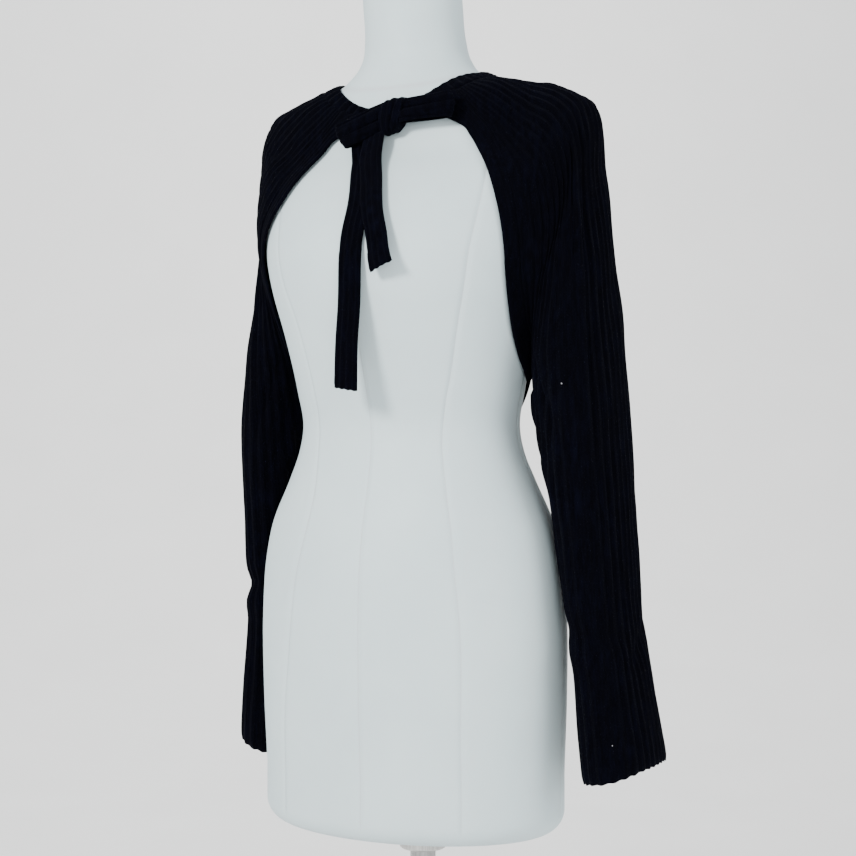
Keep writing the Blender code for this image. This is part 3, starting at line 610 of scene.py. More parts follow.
def eased(grid):
    """The sleeve's grid with its rows near the underarm eased into each other, away from its seams."""
    across = np.linspace(0, 1, grid.shape[1])[:, None]
    share = EASE * np.sin(math.pi * across) ** EASE_POWER
    for _ in range(EASE_PASSES):
        for r in range(YOKE_STEPS - EASE_ROWS, YOKE_STEPS + EASE_ROWS):
            between = (grid[r - 1] + grid[r + 1]) / 2
            grid[r] = outside_form(grid[r] * (1 - share) + between * share)
    return grid


def sleeve_grid(side, edges):
    """The inner points of a sleeve, drawn on the wearer's left, from the neck seam to the cuff."""
    front, across, back, back_across = edges[1:]
    shoulder = LEFT_SHOULDER if side > 0 else RIGHT_SHOULDER
    first = math.radians((LEFT_BAND_ANGLES if side > 0 else RIGHT_BAND_ANGLES)[1]) + NECK_GAP_ANGLE
    last = math.radians(BACK_SEAM_ANGLE) - NECK_GAP_ANGLE
    halves = [rib_places(neck_seam(np.linspace(math.pi / 2, end, PATH_SAMPLES))) for end in (first, last)]
    rows = [np.concatenate([halves[0][::-1], halves[1][1:]])]
    for r in range(1, YOKE_STEPS):
        along = r / YOKE_STEPS
        shape = [float(smooth_column(ROW_SHAPES, c, along)) for c in (1, 2, 3)]
        top = curve_point(shoulder, along)
        behind = half_row(back[r], back_across[r], top, shape, 1.0)
        if side < 0:
            shape[2] *= 1 - RIGHT_FRONT_LESS * math.sqrt(1 - along)
        ahead = half_row(front[r], across[r], top, shape, -1.0)
        rows.append(np.concatenate([ahead[::-1], behind[1:]]))
    lowest = HANG_ROWS[-1][0] - (RIGHT_HEM_DROP if side < 0 else 0)
    levels = np.linspace(HANG_ROWS[0][0], lowest, HANG_STEPS + 1)
    rows += [hanging_row(level, side) for level in levels]
    return eased(np.array(rows))


def strip_grid(first, last):
    share = np.linspace(0, 1, BAND_STEPS + 1)[None, :, None]
    return on_form(first[:, None] * (1 - share) + last[:, None] * share)


def whole_row(half):
    """A row from the wearer's left to the middle, carried on to the right."""
    return np.concatenate([half, half[-2::-1] * np.array([-1.0, 1.0, 1.0])])


def back_row(corner, middle_z):
    """A row of the back panel from one raglan seam to the middle of the back."""
    share = np.linspace(0, 1, BACK_RIBS + 1)
    z = middle_z + (corner[2] - middle_z) * (1 - share) ** BACK_ROW_RISE_POWER
    x = corner[0] * (1 - share)
    depth = smooth_column(FORM_ROWS, 4, z)
    width = smooth_column(FORM_ROWS, 1, z) + CLOTH_CLEARANCE
    y = smooth_column(FORM_ROWS, 2, z) + depth * np.sqrt(np.clip(1 - (x / width) ** 2, 0, 1))
    row = on_form(np.stack([x, y, z], axis=-1))
    row[0] = corner
    return row


def back_panel_rows(edges):
    """The back panel's inner points: half rows from the left raglan seam to the middle."""
    back, back_across = edges[3], edges[4]
    corners = on_form(back - back_across * SEAM_GAP)
    first = math.radians(BACK_SEAM_ANGLE) + NECK_GAP_ANGLE
    seam = neck_seam(np.linspace(first, math.pi, BACK_RIBS + 1))
    low = BACK_HEM + BAND_WIDTH
    rows = [seam]
    for r in range(1, len(corners)):
        middle_z = seam[-1][2] + (low - seam[-1][2]) * r / (len(corners) - 1)
        rows.append(back_row(corners[r], middle_z))
    return np.array(rows)


def hem_band_rows(edges, seam):
    """The hem band's half rows, from the end of the left front band to the middle of the back."""
    opening, front = edges[0], edges[1]
    gap = unit(opening[-1] - opening[-2]) * SEAM_GAP * 2
    down = unit(np.cross(unit(form_slope(seam)), np.gradient(seam, axis=0)))
    down *= np.sign(-down[:, 2:])
    upper = seam + down * SEAM_GAP * 2
    rows = []
    for start, rest in ((front[-1] + gap, upper), (opening[-1] + gap, upper + down * BAND_WIDTH)):
        between = on_form((start + rest[0]) / 2)
        rows.append(np.concatenate([[start, between], rest]))
    return rows


# Fine surfaces
def steps_between(values, count):
    """Rows of values along the first axis, with count steps between each pair, smoothly joined."""
    t = np.linspace(0, 1, count, endpoint=False).reshape(1, -1, *[1] * (values.ndim - 1))
    before, start, end, after = (values[k : len(values) - 3 + k, None] for k in range(4))
    made = 0.5 * (
        2 * start
        + (end - before) * t
        + (2 * before - 5 * start + 4 * end - after) * t**2
        + (3 * start - before - 3 * end + after) * t**3
    )
    return np.concatenate([made.reshape(-1, *values.shape[1:]), values[-2:-1]])


def refined(grid, along, around, closed_from=NO_RINGS):
    """A grid with more rows and columns, smooth through the given points."""
    first = 2 * grid[:, :1] - grid[:, 1:2]
    last = 2 * grid[:, -1:] - grid[:, -2:-1]
    first[closed_from:], last[closed_from:] = grid[closed_from:, -2:-1], grid[closed_from:, 1:2]
    wide = np.concatenate([first, grid, last], axis=1)
    fine = steps_between(wide.swapaxes(0, 1), around).swapaxes(0, 1)
    tall = np.concatenate([2 * fine[:1] - fine[1:2], fine, 2 * fine[-1:] - fine[-2:-1]])
    return steps_between(tall, along)


def wall_normals(grid, closed_from=NO_RINGS):
    """Outward directions of a grid of cloth. Rows from closed_from on are closed rings."""
    along, around = np.gradient(grid, axis=(0, 1))
    ends = grid[closed_from:, 1] - grid[closed_from:, -2]
    around[closed_from:, 0] = around[closed_from:, -1] = ends
    return unit(np.cross(along, around))


def rounded_rim(count, steps):
    """A share for each of count places: 1 inside, falling in a round to its least at both ends."""
    from_end = np.minimum(np.arange(count), np.arange(count)[::-1]) / steps
    return RIM_LEAST + (1 - RIM_LEAST) * np.sqrt(1 - (1 - np.clip(from_end, 0, 1)) ** 2)


def rims(shape, down, across):
    return rounded_rim(shape[0], down)[:, None] * rounded_rim(shape[1], across)[None, :]


def lifted(base, normals, height):
    return base + normals * height[..., None]


def cloth_shell(name, base, normals, heights, knit, surface, drop=0.0, closed_from=NO_RINGS):
    """One closed mesh between two heights over a grid of points, which also have places in the knit."""
    inner, outer = (lifted(base, normals, height) for height in heights)
    inner[..., 2] -= drop
    outer[..., 2] -= drop
    places = knit_places(base, *knit)
    rows, columns = base.shape[:2]
    plain = np.arange(rows * columns).reshape(rows, columns)
    index = plain.copy()
    index[closed_from:, -1] = index[closed_from:, 0]
    back = index + rows * columns

    def quads(*corners):
        return np.stack([corner.ravel() for corner in corners], axis=1)

    before, after = slice(None, -1), slice(1, None)
    cell = ((before, before), (after, before), (after, after), (before, after))
    turned = (cell[0], *cell[:0:-1])
    faces = [quads(*(index[c] for c in cell)), quads(*(back[c] for c in turned))]
    corners = [quads(*(plain[c] for c in cell)), quads(*(plain[c] for c in turned))]
    edges = [((0, before), (0, after)), ((-1, after), (-1, before))]
    open_rows = min(closed_from, rows - 1)
    if open_rows:
        edges.append(((slice(1, open_rows + 1), 0), (slice(0, open_rows), 0)))
        edges.append(((slice(0, open_rows), -1), (slice(1, open_rows + 1), -1)))
    for here, there in edges:
        faces.append(quads(index[here], index[there], back[there], back[here]))
        corners.append(quads(plain[here], plain[there], plain[there], plain[here]))
    points = np.concatenate([outer.reshape(-1, 3), inner.reshape(-1, 3)])
    corners = np.concatenate(corners).ravel()
    return mesh_piece(name, points, np.concatenate(faces).tolist(), surface, places.reshape(-1, 2)[corners])


def placed(name, data):
    made = bpy.data.objects.new(name, data)
    bpy.context.scene.collection.objects.link(made)
    return made


def mesh_piece(name, points, faces, surface, corner_places=None):
    """A smooth-shaded piece that rides on the model's one body."""
    mesh = bpy.data.meshes.new(name)
    mesh.from_pydata(points.tolist(), [], faces)
    if corner_places is not None:
        mesh.uv_layers.new(name="knit").data.foreach_set("uv", corner_places.astype(np.float32).ravel())
    made = placed(name, mesh)
    mesh.materials.append(surface)
    clean = bmesh.new()
    clean.from_mesh(mesh)
    loose = [vertex for vertex in clean.verts if not vertex.link_faces]
    bmesh.ops.delete(clean, geom=loose, context="VERTS")
    bmesh.ops.recalc_face_normals(clean, faces=clean.faces)
    clean.to_mesh(mesh)
    clean.free()
    mesh.shade_smooth()
    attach(made, "root")
    return made


def ring_faces(rows, columns):
    """Quads between closed rings of points, and triangles from the end rings to two points after all."""
    index = np.arange(rows * columns).reshape(rows, columns)
    after = np.roll(index, -1, axis=1)
    quads = np.stack([index[:-1], after[:-1], after[1:], index[1:]], axis=-1).reshape(-1, 4)
    ends = [(b, a, index.size) for a, b in zip(index[0], after[0])]
    ends += [(a, b, index.size + 1) for a, b in zip(index[-1], after[-1])]
    return quads.tolist(), ends


# Cloth
def cross_places(columns, around):
    """Each fine column's place in ribs: whole numbers are crests."""
    return np.arange((columns - 1) * around + 1) / around / 2


def rib_profile(place):
    return (0.5 + 0.5 * np.cos(2 * math.pi * place)) ** RIB_ROUNDNESS


def knit_places(base, place, stitches):
    """Where each point lies in the knit: in stitches across, and in rows along."""
    steps = np.linalg.norm(np.diff(base, axis=0), axis=-1).mean(axis=1)
    along = np.concatenate([[0], np.cumsum(steps)]) / STITCH_ROW
    across = np.broadcast_to(place * stitches, base.shape[:2])
    return np.stack([across, np.broadcast_to(along[:, None], base.shape[:2])], axis=-1)


def shares(shape):
    """Shares down and across a grid."""
    return np.linspace(0, 1, shape[0])[:, None], np.linspace(0, 1, shape[1])[None, :]


def fold_field(shape, folds):
    """Soft ridges and troughs, each running between two places on the cloth."""
    down, across = shares(shape)
    field = np.zeros(shape)
    for start_u, start_v, end_u, end_v, width, height in folds:
        du, dv = (end_u - start_u) * SLEEVE_GIRTH, (end_v - start_v) * SLEEVE_LENGTH
        x, y = (across - start_u) * SLEEVE_GIRTH, (down - start_v) * SLEEVE_LENGTH
        length = math.hypot(du, dv)
        run = (x * du + y * dv) / length**2
        off = (x * dv - y * du) / length
        fade = np.clip(FOLD_FADE - np.abs(2 * run - 1) ** 2, 0, 1)
        field += height * fade * np.exp(-((off / width) ** 2))
    return field


def wave_field(shape, seed):
    """Slow unevenness over the cloth."""
    random = np.random.default_rng(seed)
    down, across = shares(shape)
    field = np.zeros(shape)
    for _ in range(WAVES):
        fast, round_times = random.uniform(*WAVE_RATES), random.integers(*WAVE_TIMES)
        turn, share = random.uniform(0, 2 * math.pi), random.uniform(*WAVE_SHARES)
        field += share * np.sin(2 * math.pi * (fast * down + round_times * across) + turn)
    return field / WAVES


def uneven_ribs(place, rows, seed):
    """The ribs' heights over a piece: rounded, with crests that lean and swell as they run."""
    random = np.random.default_rng(seed)
    down = np.linspace(0, 1, rows)[:, None]
    sway, swell = np.zeros((rows, len(place))), np.zeros((rows, len(place)))
    number = np.floor(place + 0.5)
    for fast in RIB_SWAY_RATES:
        turns = random.uniform(0, 2 * math.pi, (2, int(number.max()) + 1))[:, number.astype(int)]
        sway += np.sin(2 * math.pi * fast * down + turns[0])
        swell += np.sin(2 * math.pi * fast * down + turns[1])
    inside = np.clip(np.minimum(place, place.max() - place), 0, 1)
    moved = place + RIB_SWAY * sway * inside * np.cos(math.pi * (place - number)) ** 2
    return rib_profile(moved) * (1 + RIB_SWELL * swell)


def rib_room(base, around):
    """How fully the ribs can rise at each point, from their spacing there."""
    steps = np.linalg.norm(np.diff(base, axis=1), axis=-1) * around
    pitch = np.concatenate([steps[:, :1], (steps[:, 1:] + steps[:, :-1]) / 2, steps[:, -1:]], axis=1)
    return np.clip(2 * pitch / RIB_PITCH, *RIB_RISE_LIMITS)


def sleeve_piece(name, side, edges, folds, seed, surface):
    grid = sleeve_grid(side, edges)
    base = refined(grid, SLEEVE_ROWS, SLEEVE_COLUMNS, YOKE_STEPS)
    yoke = YOKE_STEPS * SLEEVE_ROWS
    base[:yoke] = outside_form(base[:yoke])

    def outwards(base):
        normals = wall_normals(base, yoke)
        normals[0] = unit(form_slope(base[0]))
        return normals

    shape = base.shape[:2]
    row, across = np.arange(shape[0])[:, None], shares(shape)[1]
    settle = np.clip(row / (SETTLE_ROWS * SLEEVE_ROWS), 0, 1)
    moved = (fold_field(shape, folds) + WAVE_HEIGHT * wave_field(shape, seed)) * settle
    moved[:yoke] *= np.sin(math.pi * across) ** YOKE_EDGE_POWER
    base = lifted(base, outwards(base), moved)
    base[:yoke] = outside_form(base[:yoke])
    normals = outwards(base)
    place = cross_places(grid.shape[1], SLEEVE_COLUMNS)
    profile = uneven_ribs(place, shape[0], seed) * rib_room(base, SLEEVE_COLUMNS)
    rim = rounded_rim(shape[0], 3)[:, None]
    outer = (SHELL_WALL + SHELL_RIB * profile) * rim
    inner = SHELL_RIB * profile * INSIDE_RIB + SHELL_WALL * (1 - rim) / 2
    hem = np.clip(1 - (shape[0] - 1 - row) / (SLEEVE_ROWS * HEM_SHARE), 0, 1)
    slow = sum(
        share * np.sin(2 * math.pi * (times * across + shift * seed)) for times, shift, share in HEM_WAVES
    )
    drop = HEM_SCALLOP * hem * (profile - 0.5) + HEM_WAVE * hem * slow
    mirror, knit = np.array([side, 1.0, 1.0]), (place, STITCHES_IN_RIB)
    return cloth_shell(name, base * mirror, normals * mirror, (inner, outer), knit, surface, drop, yoke)


def band_shell(name, grid, normals, along, surface):
    """A plain band's shell, its knit running along it."""
    base = refined(grid, along, BAND_COLUMNS)
    lean = unit(refined(normals, along, BAND_COLUMNS))
    place = np.linspace(0, BAND_RIBS, base.shape[1]) + 0.5
    rim = rims(base.shape, 2, 2)
    heights = BAND_SHELL * (1 - rim) / 2, (BAND_SHELL + BAND_RIB * rib_profile(place)[None, :]) * rim
    return cloth_shell(name, base, lean, heights, (place, STITCHES_IN_BAND), surface)


def neckband_piece(surface):
    angle = np.radians(np.linspace(NECKBAND_LEFT_END, 360 + NECKBAND_RIGHT_END, 2 * NECKBAND_RIBS + 1))
    seam = neck_seam(angle)
    free = outside_form(ring_point(NECK_FREE_EDGE, angle), NECK_EDGE_CLEARANCE)
    share = (SEAM_GAP * 2 / np.linalg.norm(free - seam, axis=-1))[:, None]
    grid = np.array([seam + (free - seam) * (share + (1 - share) * t) for t in NECKBAND_SHARES])
    normals = wall_normals(grid)
    normals *= np.sign(np.sum(normals * form_slope(grid), axis=-1, keepdims=True))
    normals[0] = unit(form_slope(grid[0]))
    base = refined(grid, NECKBAND_FINE, NECKBAND_FINE)
    lean = unit(refined(normals, NECKBAND_FINE, NECKBAND_FINE))
    place = cross_places(grid.shape[1], NECKBAND_FINE)
    rim = rims(base.shape, 3, 2)
    wave = NECKBAND_WAVE * wave_field(base.shape[:2], NECKBAND_SEED) * shares(base.shape)[0]
    base = lifted(base, lean, wave)
    profile = rib_profile(place)[None, :]
    outer = (SHELL_WALL + NECKBAND_RIB * profile) * rim
    inner = NECKBAND_RIB / 2 * profile + SHELL_WALL * (1 - rim) / 2
    return cloth_shell("neckband_knit", base, lean, (inner, outer), (place, STITCHES_IN_TIE), surface)


def front_band_piece(name, side, edges, angles, surface):
    """A front band, its sewn side tucked under the sleeve's edge, further where that edge lifts."""
    opening, front = edges[0], edges[1]
    share = np.linspace(0, 1, len(front))[:, None]
    under = front + unit(front - opening) * (BAND_TUCK + UNDERARM_TUCK * share**3)
    grid = strip_grid(opening, under)
    first, last = np.radians(angles)
    seam = neck_seam(np.linspace(first, last + BAND_TUCK / NECK_SEAM[0], BAND_STEPS + 1))
    grid[0] = seam - unit(grid[1] - seam) * BAND_TUCK
    mirror = np.array([side, 1.0, 1.0])
    return band_shell(name, grid * mirror, unit(form_slope(grid)) * mirror, BAND_ROWS, surface)


def back_pieces(edges, surface):
    panel = back_panel_rows(edges)
    grid = np.array([whole_row(row) for row in panel])
    back = refined(grid, BACK_ROWS, BACK_COLUMNS)
    shape = back.shape[:2]
    down, across = shares(shape)
    tuck = BACK_TUCK + UNDERARM_BACK_TUCK * down**3
    back[:, 0] += unit(back[:, 0] - back[:, 1]) * tuck
    back[:, -1] += unit(back[:, -1] - back[:, -2]) * tuck
    back[-1] += unit(back[-1] - back[-2]) * BACK_TUCK
    back = on_form(back)
    normals = unit(form_slope(back))
    place = cross_places(grid.shape[1], BACK_COLUMNS)
    profile = uneven_ribs(place, shape[0], BACK_RIB_SEED) * rib_room(back, BACK_COLUMNS)
    swell = WAVE_HEIGHT * (1 + wave_field(shape, BACK_WAVE_SEED))
    swell *= np.sin(math.pi * across) ** BACK_SIDE_POWER
    swell *= np.sin(math.pi * down) ** BACK_END_POWER
    outer = swell + (SHELL_WALL + SHELL_RIB * profile) * rims(shape, 2, 2)
    heights, knit = (swell + SHELL_RIB * profile * INSIDE_RIB, outer), (place, STITCHES_IN_RIB)
    made = cloth_shell("back_panel_knit", back, normals, heights, knit, surface)
    grid = strip_grid(*(whole_row(row) for row in hem_band_rows(edges, panel[-1]))).swapaxes(0, 1)
    return made, band_shell("back_hem_band_knit", grid, unit(form_slope(grid)), HEM_BAND_ROWS, surface)


def knot_piece(surface):
    """The knot: the tie's strip wrapped once round, its ribs running over the front."""
    turn = np.linspace(0, 2 * math.pi, KNOT_SIDES + 1)[:-1]
    across = np.linspace(-1, 1, KNOT_RINGS)[:, None]
    rounded = KNOT_WAIST + (1 - KNOT_WAIST) * (1 - np.abs(across) ** KNOT_ROUNDING) ** (1 / KNOT_ROUNDING)
    y = -np.sign(np.cos(turn)) * np.abs(np.cos(turn)) ** KNOT_BOXINESS
    z = np.sign(np.sin(turn)) * np.abs(np.sin(turn)) ** KNOT_BOXINESS
    off_fold = across - KNOT_FOLD_PLACE - KNOT_FOLD_SWAY * np.sin(turn)[None]
    fold = -KNOT_FOLD * np.exp(-((off_fold / KNOT_FOLD_WIDTH) ** 2))
    swell = rounded + (KNOT_RIB * rib_profile(across * 2) + fold) / KNOT_HALF[1]
    grid = np.zeros((len(across), len(turn), 3))
    grid[..., 0] = KNOT_CENTRE[0] + KNOT_HALF[0] * across
    grid[..., 1] = KNOT_CENTRE[1] + KNOT_HALF[1] * y[None, :] * swell
    grid[..., 0] += KNOT_SLANT * z[None, :] * (1 + across) / 2
    grid[..., 2] = KNOT_CENTRE[2] + KNOT_HALF[2] * z[None, :] * swell + KNOT_TILT * across
    points = np.concatenate([grid.reshape(-1, 3), grid[:1].mean(axis=1), grid[-1:].mean(axis=1)])
    quads, ends = ring_faces(*grid.shape[:2])
    steps = np.array([(0, 0), (0, 1), (1, 1), (1, 0)])
    r, c = np.divmod(np.arange(len(quads)), KNOT_SIDES)
    places = (np.stack([r, c], axis=1)[:, None] + steps) / KNOT_STITCH_CELLS
    places = np.concatenate([places.reshape(-1, 2), np.zeros((len(ends) * 3, 2))])
    return mesh_piece("bow_knot_knit", points, quads + ends, surface, places)


def loop_piece(name, values, gathered, seed, surface):
    """A loop of the bow: a soft strip on edge, gathered at the knot, its end thick and rounded."""
    side, length, thickness, tilt, lean, turn = values
    t = np.linspace(0, 1, LOOP_STEPS)
    away = (length - LOOP_WALL) * np.sin(math.pi * t) ** LOOP_END_POWER
    half = thickness / 2 - LOOP_WALL
    open_half = half * (LOOP_ROOT + (1 - LOOP_ROOT) * np.clip(away / length * LOOP_SPREAD, 0, 1))
    to_front = np.cos(math.pi * t)
    depth = open_half * np.sign(to_front) * np.abs(to_front) ** LOOP_BEND_POWER
    away, share = away[:, None], (away / length)[:, None]
    place = np.linspace(-1, 1, TIE_COLUMNS)[None, :]
    width = place * TIE_WIDTH / 2 * LOOP_WIDTH
    leans = share * math.radians(lean)
    shift = np.random.default_rng(seed).uniform(0, 2 * math.pi)
    crease = LOOP_CREASE * np.sin(LOOP_CREASES * math.pi * place + shift + 2 * share)
    crease *= (1 - share) ** LOOP_CREASE_FADE
    rolled = LOOP_ROLL * place**2 * share
    grid = np.zeros((len(t), place.shape[1], 3))
    start = KNOT_HALF[0] - LOOP_IN_KNOT
    grid[..., 0] = KNOT_CENTRE[0] + side * (start + away - width * np.sin(leans) - rolled)
    closed = depth[:, None] * (1 - LOOP_CLOSED * place**2)
    grid[..., 1] = LOOP_Y - closed + away * math.tan(math.radians(turn)) + crease
    grid[..., 2] = KNOT_CENTRE[2] + away * math.tan(math.radians(tilt)) + width * np.cos(leans)
    low = np.clip(place + LOOP_STAGGER_FROM, 0, 2)
    grid[..., 2] -= LOOP_STAGGER * (to_front[:, None] + 1) * share * low
    grid[..., 2] += gathered * (1 - share) * np.clip(-place, 0, 1)
    normals = wall_normals(grid)
    middle = grid[len(t) // 4 : 3 * len(t) // 4].mean(axis=(0, 1))
    normals *= np.sign(np.sum(normals * (grid - middle), axis=-1).sum())
    ribs = np.linspace(0, TIE_RIBS, TIE_COLUMNS)
    rim = rounded_rim(TIE_COLUMNS, 3)[None, :]
    heights = TIE_SHELL * (1 - rim) / 2, (TIE_SHELL + LOOP_RIB * rib_profile(ribs)[None, :]) * rim
    return cloth_shell(name, grid, normals, heights, (ribs, STITCHES_IN_TIE), surface)


def tail_piece(name, table, end_slope, clearance, seed, surface):
    """A tail: the strip hangs from the knot, four ribs wide, a little flared at its end."""
    along = np.linspace(0, 1, TAIL_STEPS)
    turn = np.radians(smooth_column(table, 4, along))
    share = along[:, None]
    flare = TAIL_NARROW + TAIL_FLARE * np.clip(1 - (1 - share) * TAIL_FLARE_RATE, 0, 1)
    width = np.linspace(-TIE_WIDTH / 2, TIE_WIDTH / 2, TIE_COLUMNS)[None, :] * flare
    shift = np.random.default_rng(seed).uniform(0, 1)
    across = np.stack([np.cos(turn), np.sin(turn), 0 * turn], axis=-1)
    grid = curve_point(table, along)[:, None] + across[:, None] * width[..., None]
    grid[..., 0] += TAIL_SWAY * np.sin(2 * math.pi * (share * TAIL_SWAYS + shift))
    grid[..., 1] += TAIL_CUP * (width / TIE_WIDTH * 2) ** 2 * np.clip(share * TAIL_CUP_RATE, 0, 1)
    slope = TAIL_TOP_SLOPE * (1 - share) ** TAIL_SLOPE_FADE + end_slope * share**TAIL_SLOPE_FADE
    grid[..., 2] += slope * width
    grid = outside_form(grid, clearance)
    grid = np.concatenate([2 * grid[:1] - grid[1:2], grid])
    share = np.concatenate([share[:1], share])
    normals = wall_normals(grid)
    normals *= -np.sign(normals[..., 1:2])
    place = np.linspace(0, TIE_RIBS, TIE_COLUMNS)
    profile = uneven_ribs(place + 0.5, len(share), seed)
    rim = rims(grid.shape, 1, 2)
    heights = TIE_SHELL * (1 - rim) / 2, (TIE_SHELL + TIE_RIB * profile) * rim
    hem = np.clip(1 - (1 - share) * TAIL_SCALLOP_RATE, 0, 1) * (profile - 0.5) * TAIL_SCALLOP
    return cloth_shell(name, grid, normals, heights, (place, STITCHES_IN_TIE), surface, hem)


# The form and its stand
def seam_angles(height):
    """The form's seams at one height, as angles from the front towards the wearer's left."""
    half_width = float(smooth_column(FORM_ROWS, 1, height))
    left, right = (
        math.asin(min(WIDEST_SEAM, float(smooth_column(table, 1, height)) / half_width))
        for table in (LEFT_PRINCESS, RIGHT_PRINCESS)
    )
    half = [0.0, left, SIDE_SEAM, BACK_PRINCESS, math.pi]
    return half + [2 * math.pi - angle for angle in (BACK_PRINCESS, SIDE_SEAM, right, 0.0)]


def form_piece(surface):
    """The form's smooth skin, with a fine groove along each seam of its cover."""
    low, top = FORM_BOTTOM + FORM_EDGE_RADIUS, FORM_ROWS[-1][0]
    rings = [
        (FORM_BOTTOM + FORM_EDGE_RADIUS * (1 - math.cos(a)), FORM_EDGE_RADIUS * (1 - math.sin(a)))
        for a in np.radians(np.linspace(0, 90, FORM_EDGE_RINGS))
    ]
    rings += [(float(h), 0.0) for h in np.linspace(low, top, FORM_RINGS)[1:]]
    points, shades = [], []
    for height, inset in rings:
        seams = seam_angles(max(height, FORM_ROWS[0][0]))
        angles, depths = [], []
        for start, end, count in zip(seams, seams[1:], FORM_PANEL_COLUMNS):
            inside = np.linspace(start + FORM_SEAM_ANGLE, end - FORM_SEAM_ANGLE, count)
            angles += [start] + inside.tolist()
            depths += [FORM_SEAM_DEPTH] + [0.0] * count
        angles, depths = np.array(angles), np.array(depths)
        shown = np.clip((FORM_SEAM_TOP - height) / FORM_SEAM_FADE, 0, 1)
        shown *= np.clip((height - FORM_SEAM_LOW) / FORM_SEAM_FADE, 0, 1)
        bulge = np.exp(-(((height - NECK_BASE_SEAM) / NECK_SEAM_SPREAD) ** 2))
        z = height + NECK_SEAM_LIFT * np.sin(angles) ** 2 * bulge
        half_width, middle_y, front, back = (smooth_column(FORM_ROWS, c, z) for c in (1, 2, 3, 4))
        depth = np.where(np.cos(angles) > 0, front, back)
        groove = inset + depths * shown
        x, y = (half_width - groove) * np.sin(angles), middle_y - (depth - groove) * np.cos(angles)
        points.append(np.stack([x, y, z], axis=1))
        shades.append((depths > 0) * shown)
    points, shades = np.array(points), np.array(shades, float)
    near = int(np.argmin([abs(h - NECK_BASE_SEAM) for h, _ in rings]))
    centre = points[near].mean(axis=0)
    points[near] += unit(centre - points[near]) * np.array([1, 1, 0]) * FORM_SEAM_DEPTH
    shades[near] = 1.0
    quads, _ = ring_faces(*shades.shape)
    count, columns = shades.size, shades.shape[1]
    faces = quads + [list(range(columns)), list(range(count - columns, count))]
    made = mesh_piece("form_skin", points.reshape(-1, 3), faces, surface)
    seam = made.data.attributes.new("seam", "FLOAT", "POINT")
    seam.data.foreach_set("value", shades.ravel().astype(np.float32))
    return made


def turned_piece(name, radius, low, high, rim, middle_y, surface):
    """A disc or a rod turned round an upright axis, with its two rims rounded."""
    turns = np.radians(np.linspace(0, 90, RIM_STEPS))
    inwards, upwards = rim * (1 - np.sin(turns)), rim * (1 - np.cos(turns))
    reach = radius - np.concatenate([inwards, upwards])
    height = np.concatenate([low + upwards, high - inwards])
    angles = np.linspace(0, 2 * math.pi, TURNED_SIDES, endpoint=False)
    x, y = np.outer(reach, np.cos(angles)), middle_y + np.outer(reach, np.sin(angles))
    rings = np.stack([x, y, np.broadcast_to(height[:, None], x.shape)], axis=-1).reshape(-1, 3)
    points = np.concatenate([rings, [(0.0, middle_y, low), (0.0, middle_y, high)]])
    quads, ends = ring_faces(*x.shape)
    made = mesh_piece(name, points, quads + ends, surface)
    made.data.set_sharp_from_angle(angle=SHARP_ANGLE)
    return made


# Materials
class Shader:
    """A material's nodes, led to its one surface."""

    def __init__(self, name):
        self.material = bpy.data.materials.new(name)
        self.material.use_nodes = True
        self.tree = self.material.node_tree
        self.where = self.node("ShaderNodeTexCoord").outputs["Object"]

    def join(self, value, socket):
        if isinstance(value, bpy.types.NodeSocket):
            self.tree.links.new(value, socket)
        else:
            socket.default_value = value

    def node(self, kind, inputs=(), **settings):
        made = self.tree.nodes.new(kind)
        for key, value in settings.items():
            setattr(made, key, value)
        for key, value in dict(inputs).items():
            self.join(value, made.inputs[key])
        return made

    def maths(self, operation, a, b=0.0):
        return self.node("ShaderNodeMath", {0: a, 1: b}, operation=operation).outputs[0]

    def mapped(self, value, low, high, to_low=0.0, to_high=1.0):
        inputs = {0: value, 1: low, 2: high, 3: to_low, 4: to_high}
        return self.node("ShaderNodeMapRange", inputs).outputs[0]

    def mixed(self, share, base, colour):
        made = self.node("ShaderNodeMix", {0: share}, data_type="RGBA")
        self.join((*base, 1.0) if isinstance(base, tuple) else base, made.inputs[6])
        self.join((*colour, 1.0), made.inputs[7])
        return made.outputs[2]

    def noise(self, scale, detail, roughness=0.5):
        """Noise over the piece, drawn out where its scale is a triple."""
        place = self.where
        if isinstance(scale, tuple):
            place, scale = self.node("ShaderNodeMapping", {"Vector": place, "Scale": scale}).outputs[0], 1.0
        inputs = {"Vector": place, "Scale": scale, "Detail": detail, "Roughness": roughness}
        return self.node("ShaderNodeTexNoise", inputs).outputs[0]

    def cells(self, scale):
        inputs = {"Vector": self.where, "Scale": scale}
        return self.node("ShaderNodeTexVoronoi", inputs, feature="F1").outputs

    def spots(self, scale, size, channel, share):
        """1 on a spot in that share of the cells, and 0 elsewhere."""
        cells = self.cells(scale)
        chance = self.node("ShaderNodeSeparateColor", {0: cells["Color"]}).outputs[channel]
        near = self.maths("LESS_THAN", cells["Distance"], size)
        return self.maths("MULTIPLY", near, self.maths("LESS_THAN", chance, share))

    def finished(self, values, *relief):
        """The material, with its surface's values and layers of relief: height, depth and strength."""
        surface = self.tree.nodes["Principled BSDF"]
        for name, value in values.items():
            self.join(value, surface.inputs[name])
        normal = {}
        for height, depth, strength in relief:
            inputs = {"Height": height, "Distance": depth, "Strength": strength, **normal}
            normal = {"Normal": self.node("ShaderNodeBump", inputs).outputs[0]}
        self.join(normal["Normal"], surface.inputs["Normal"])
        return self.material


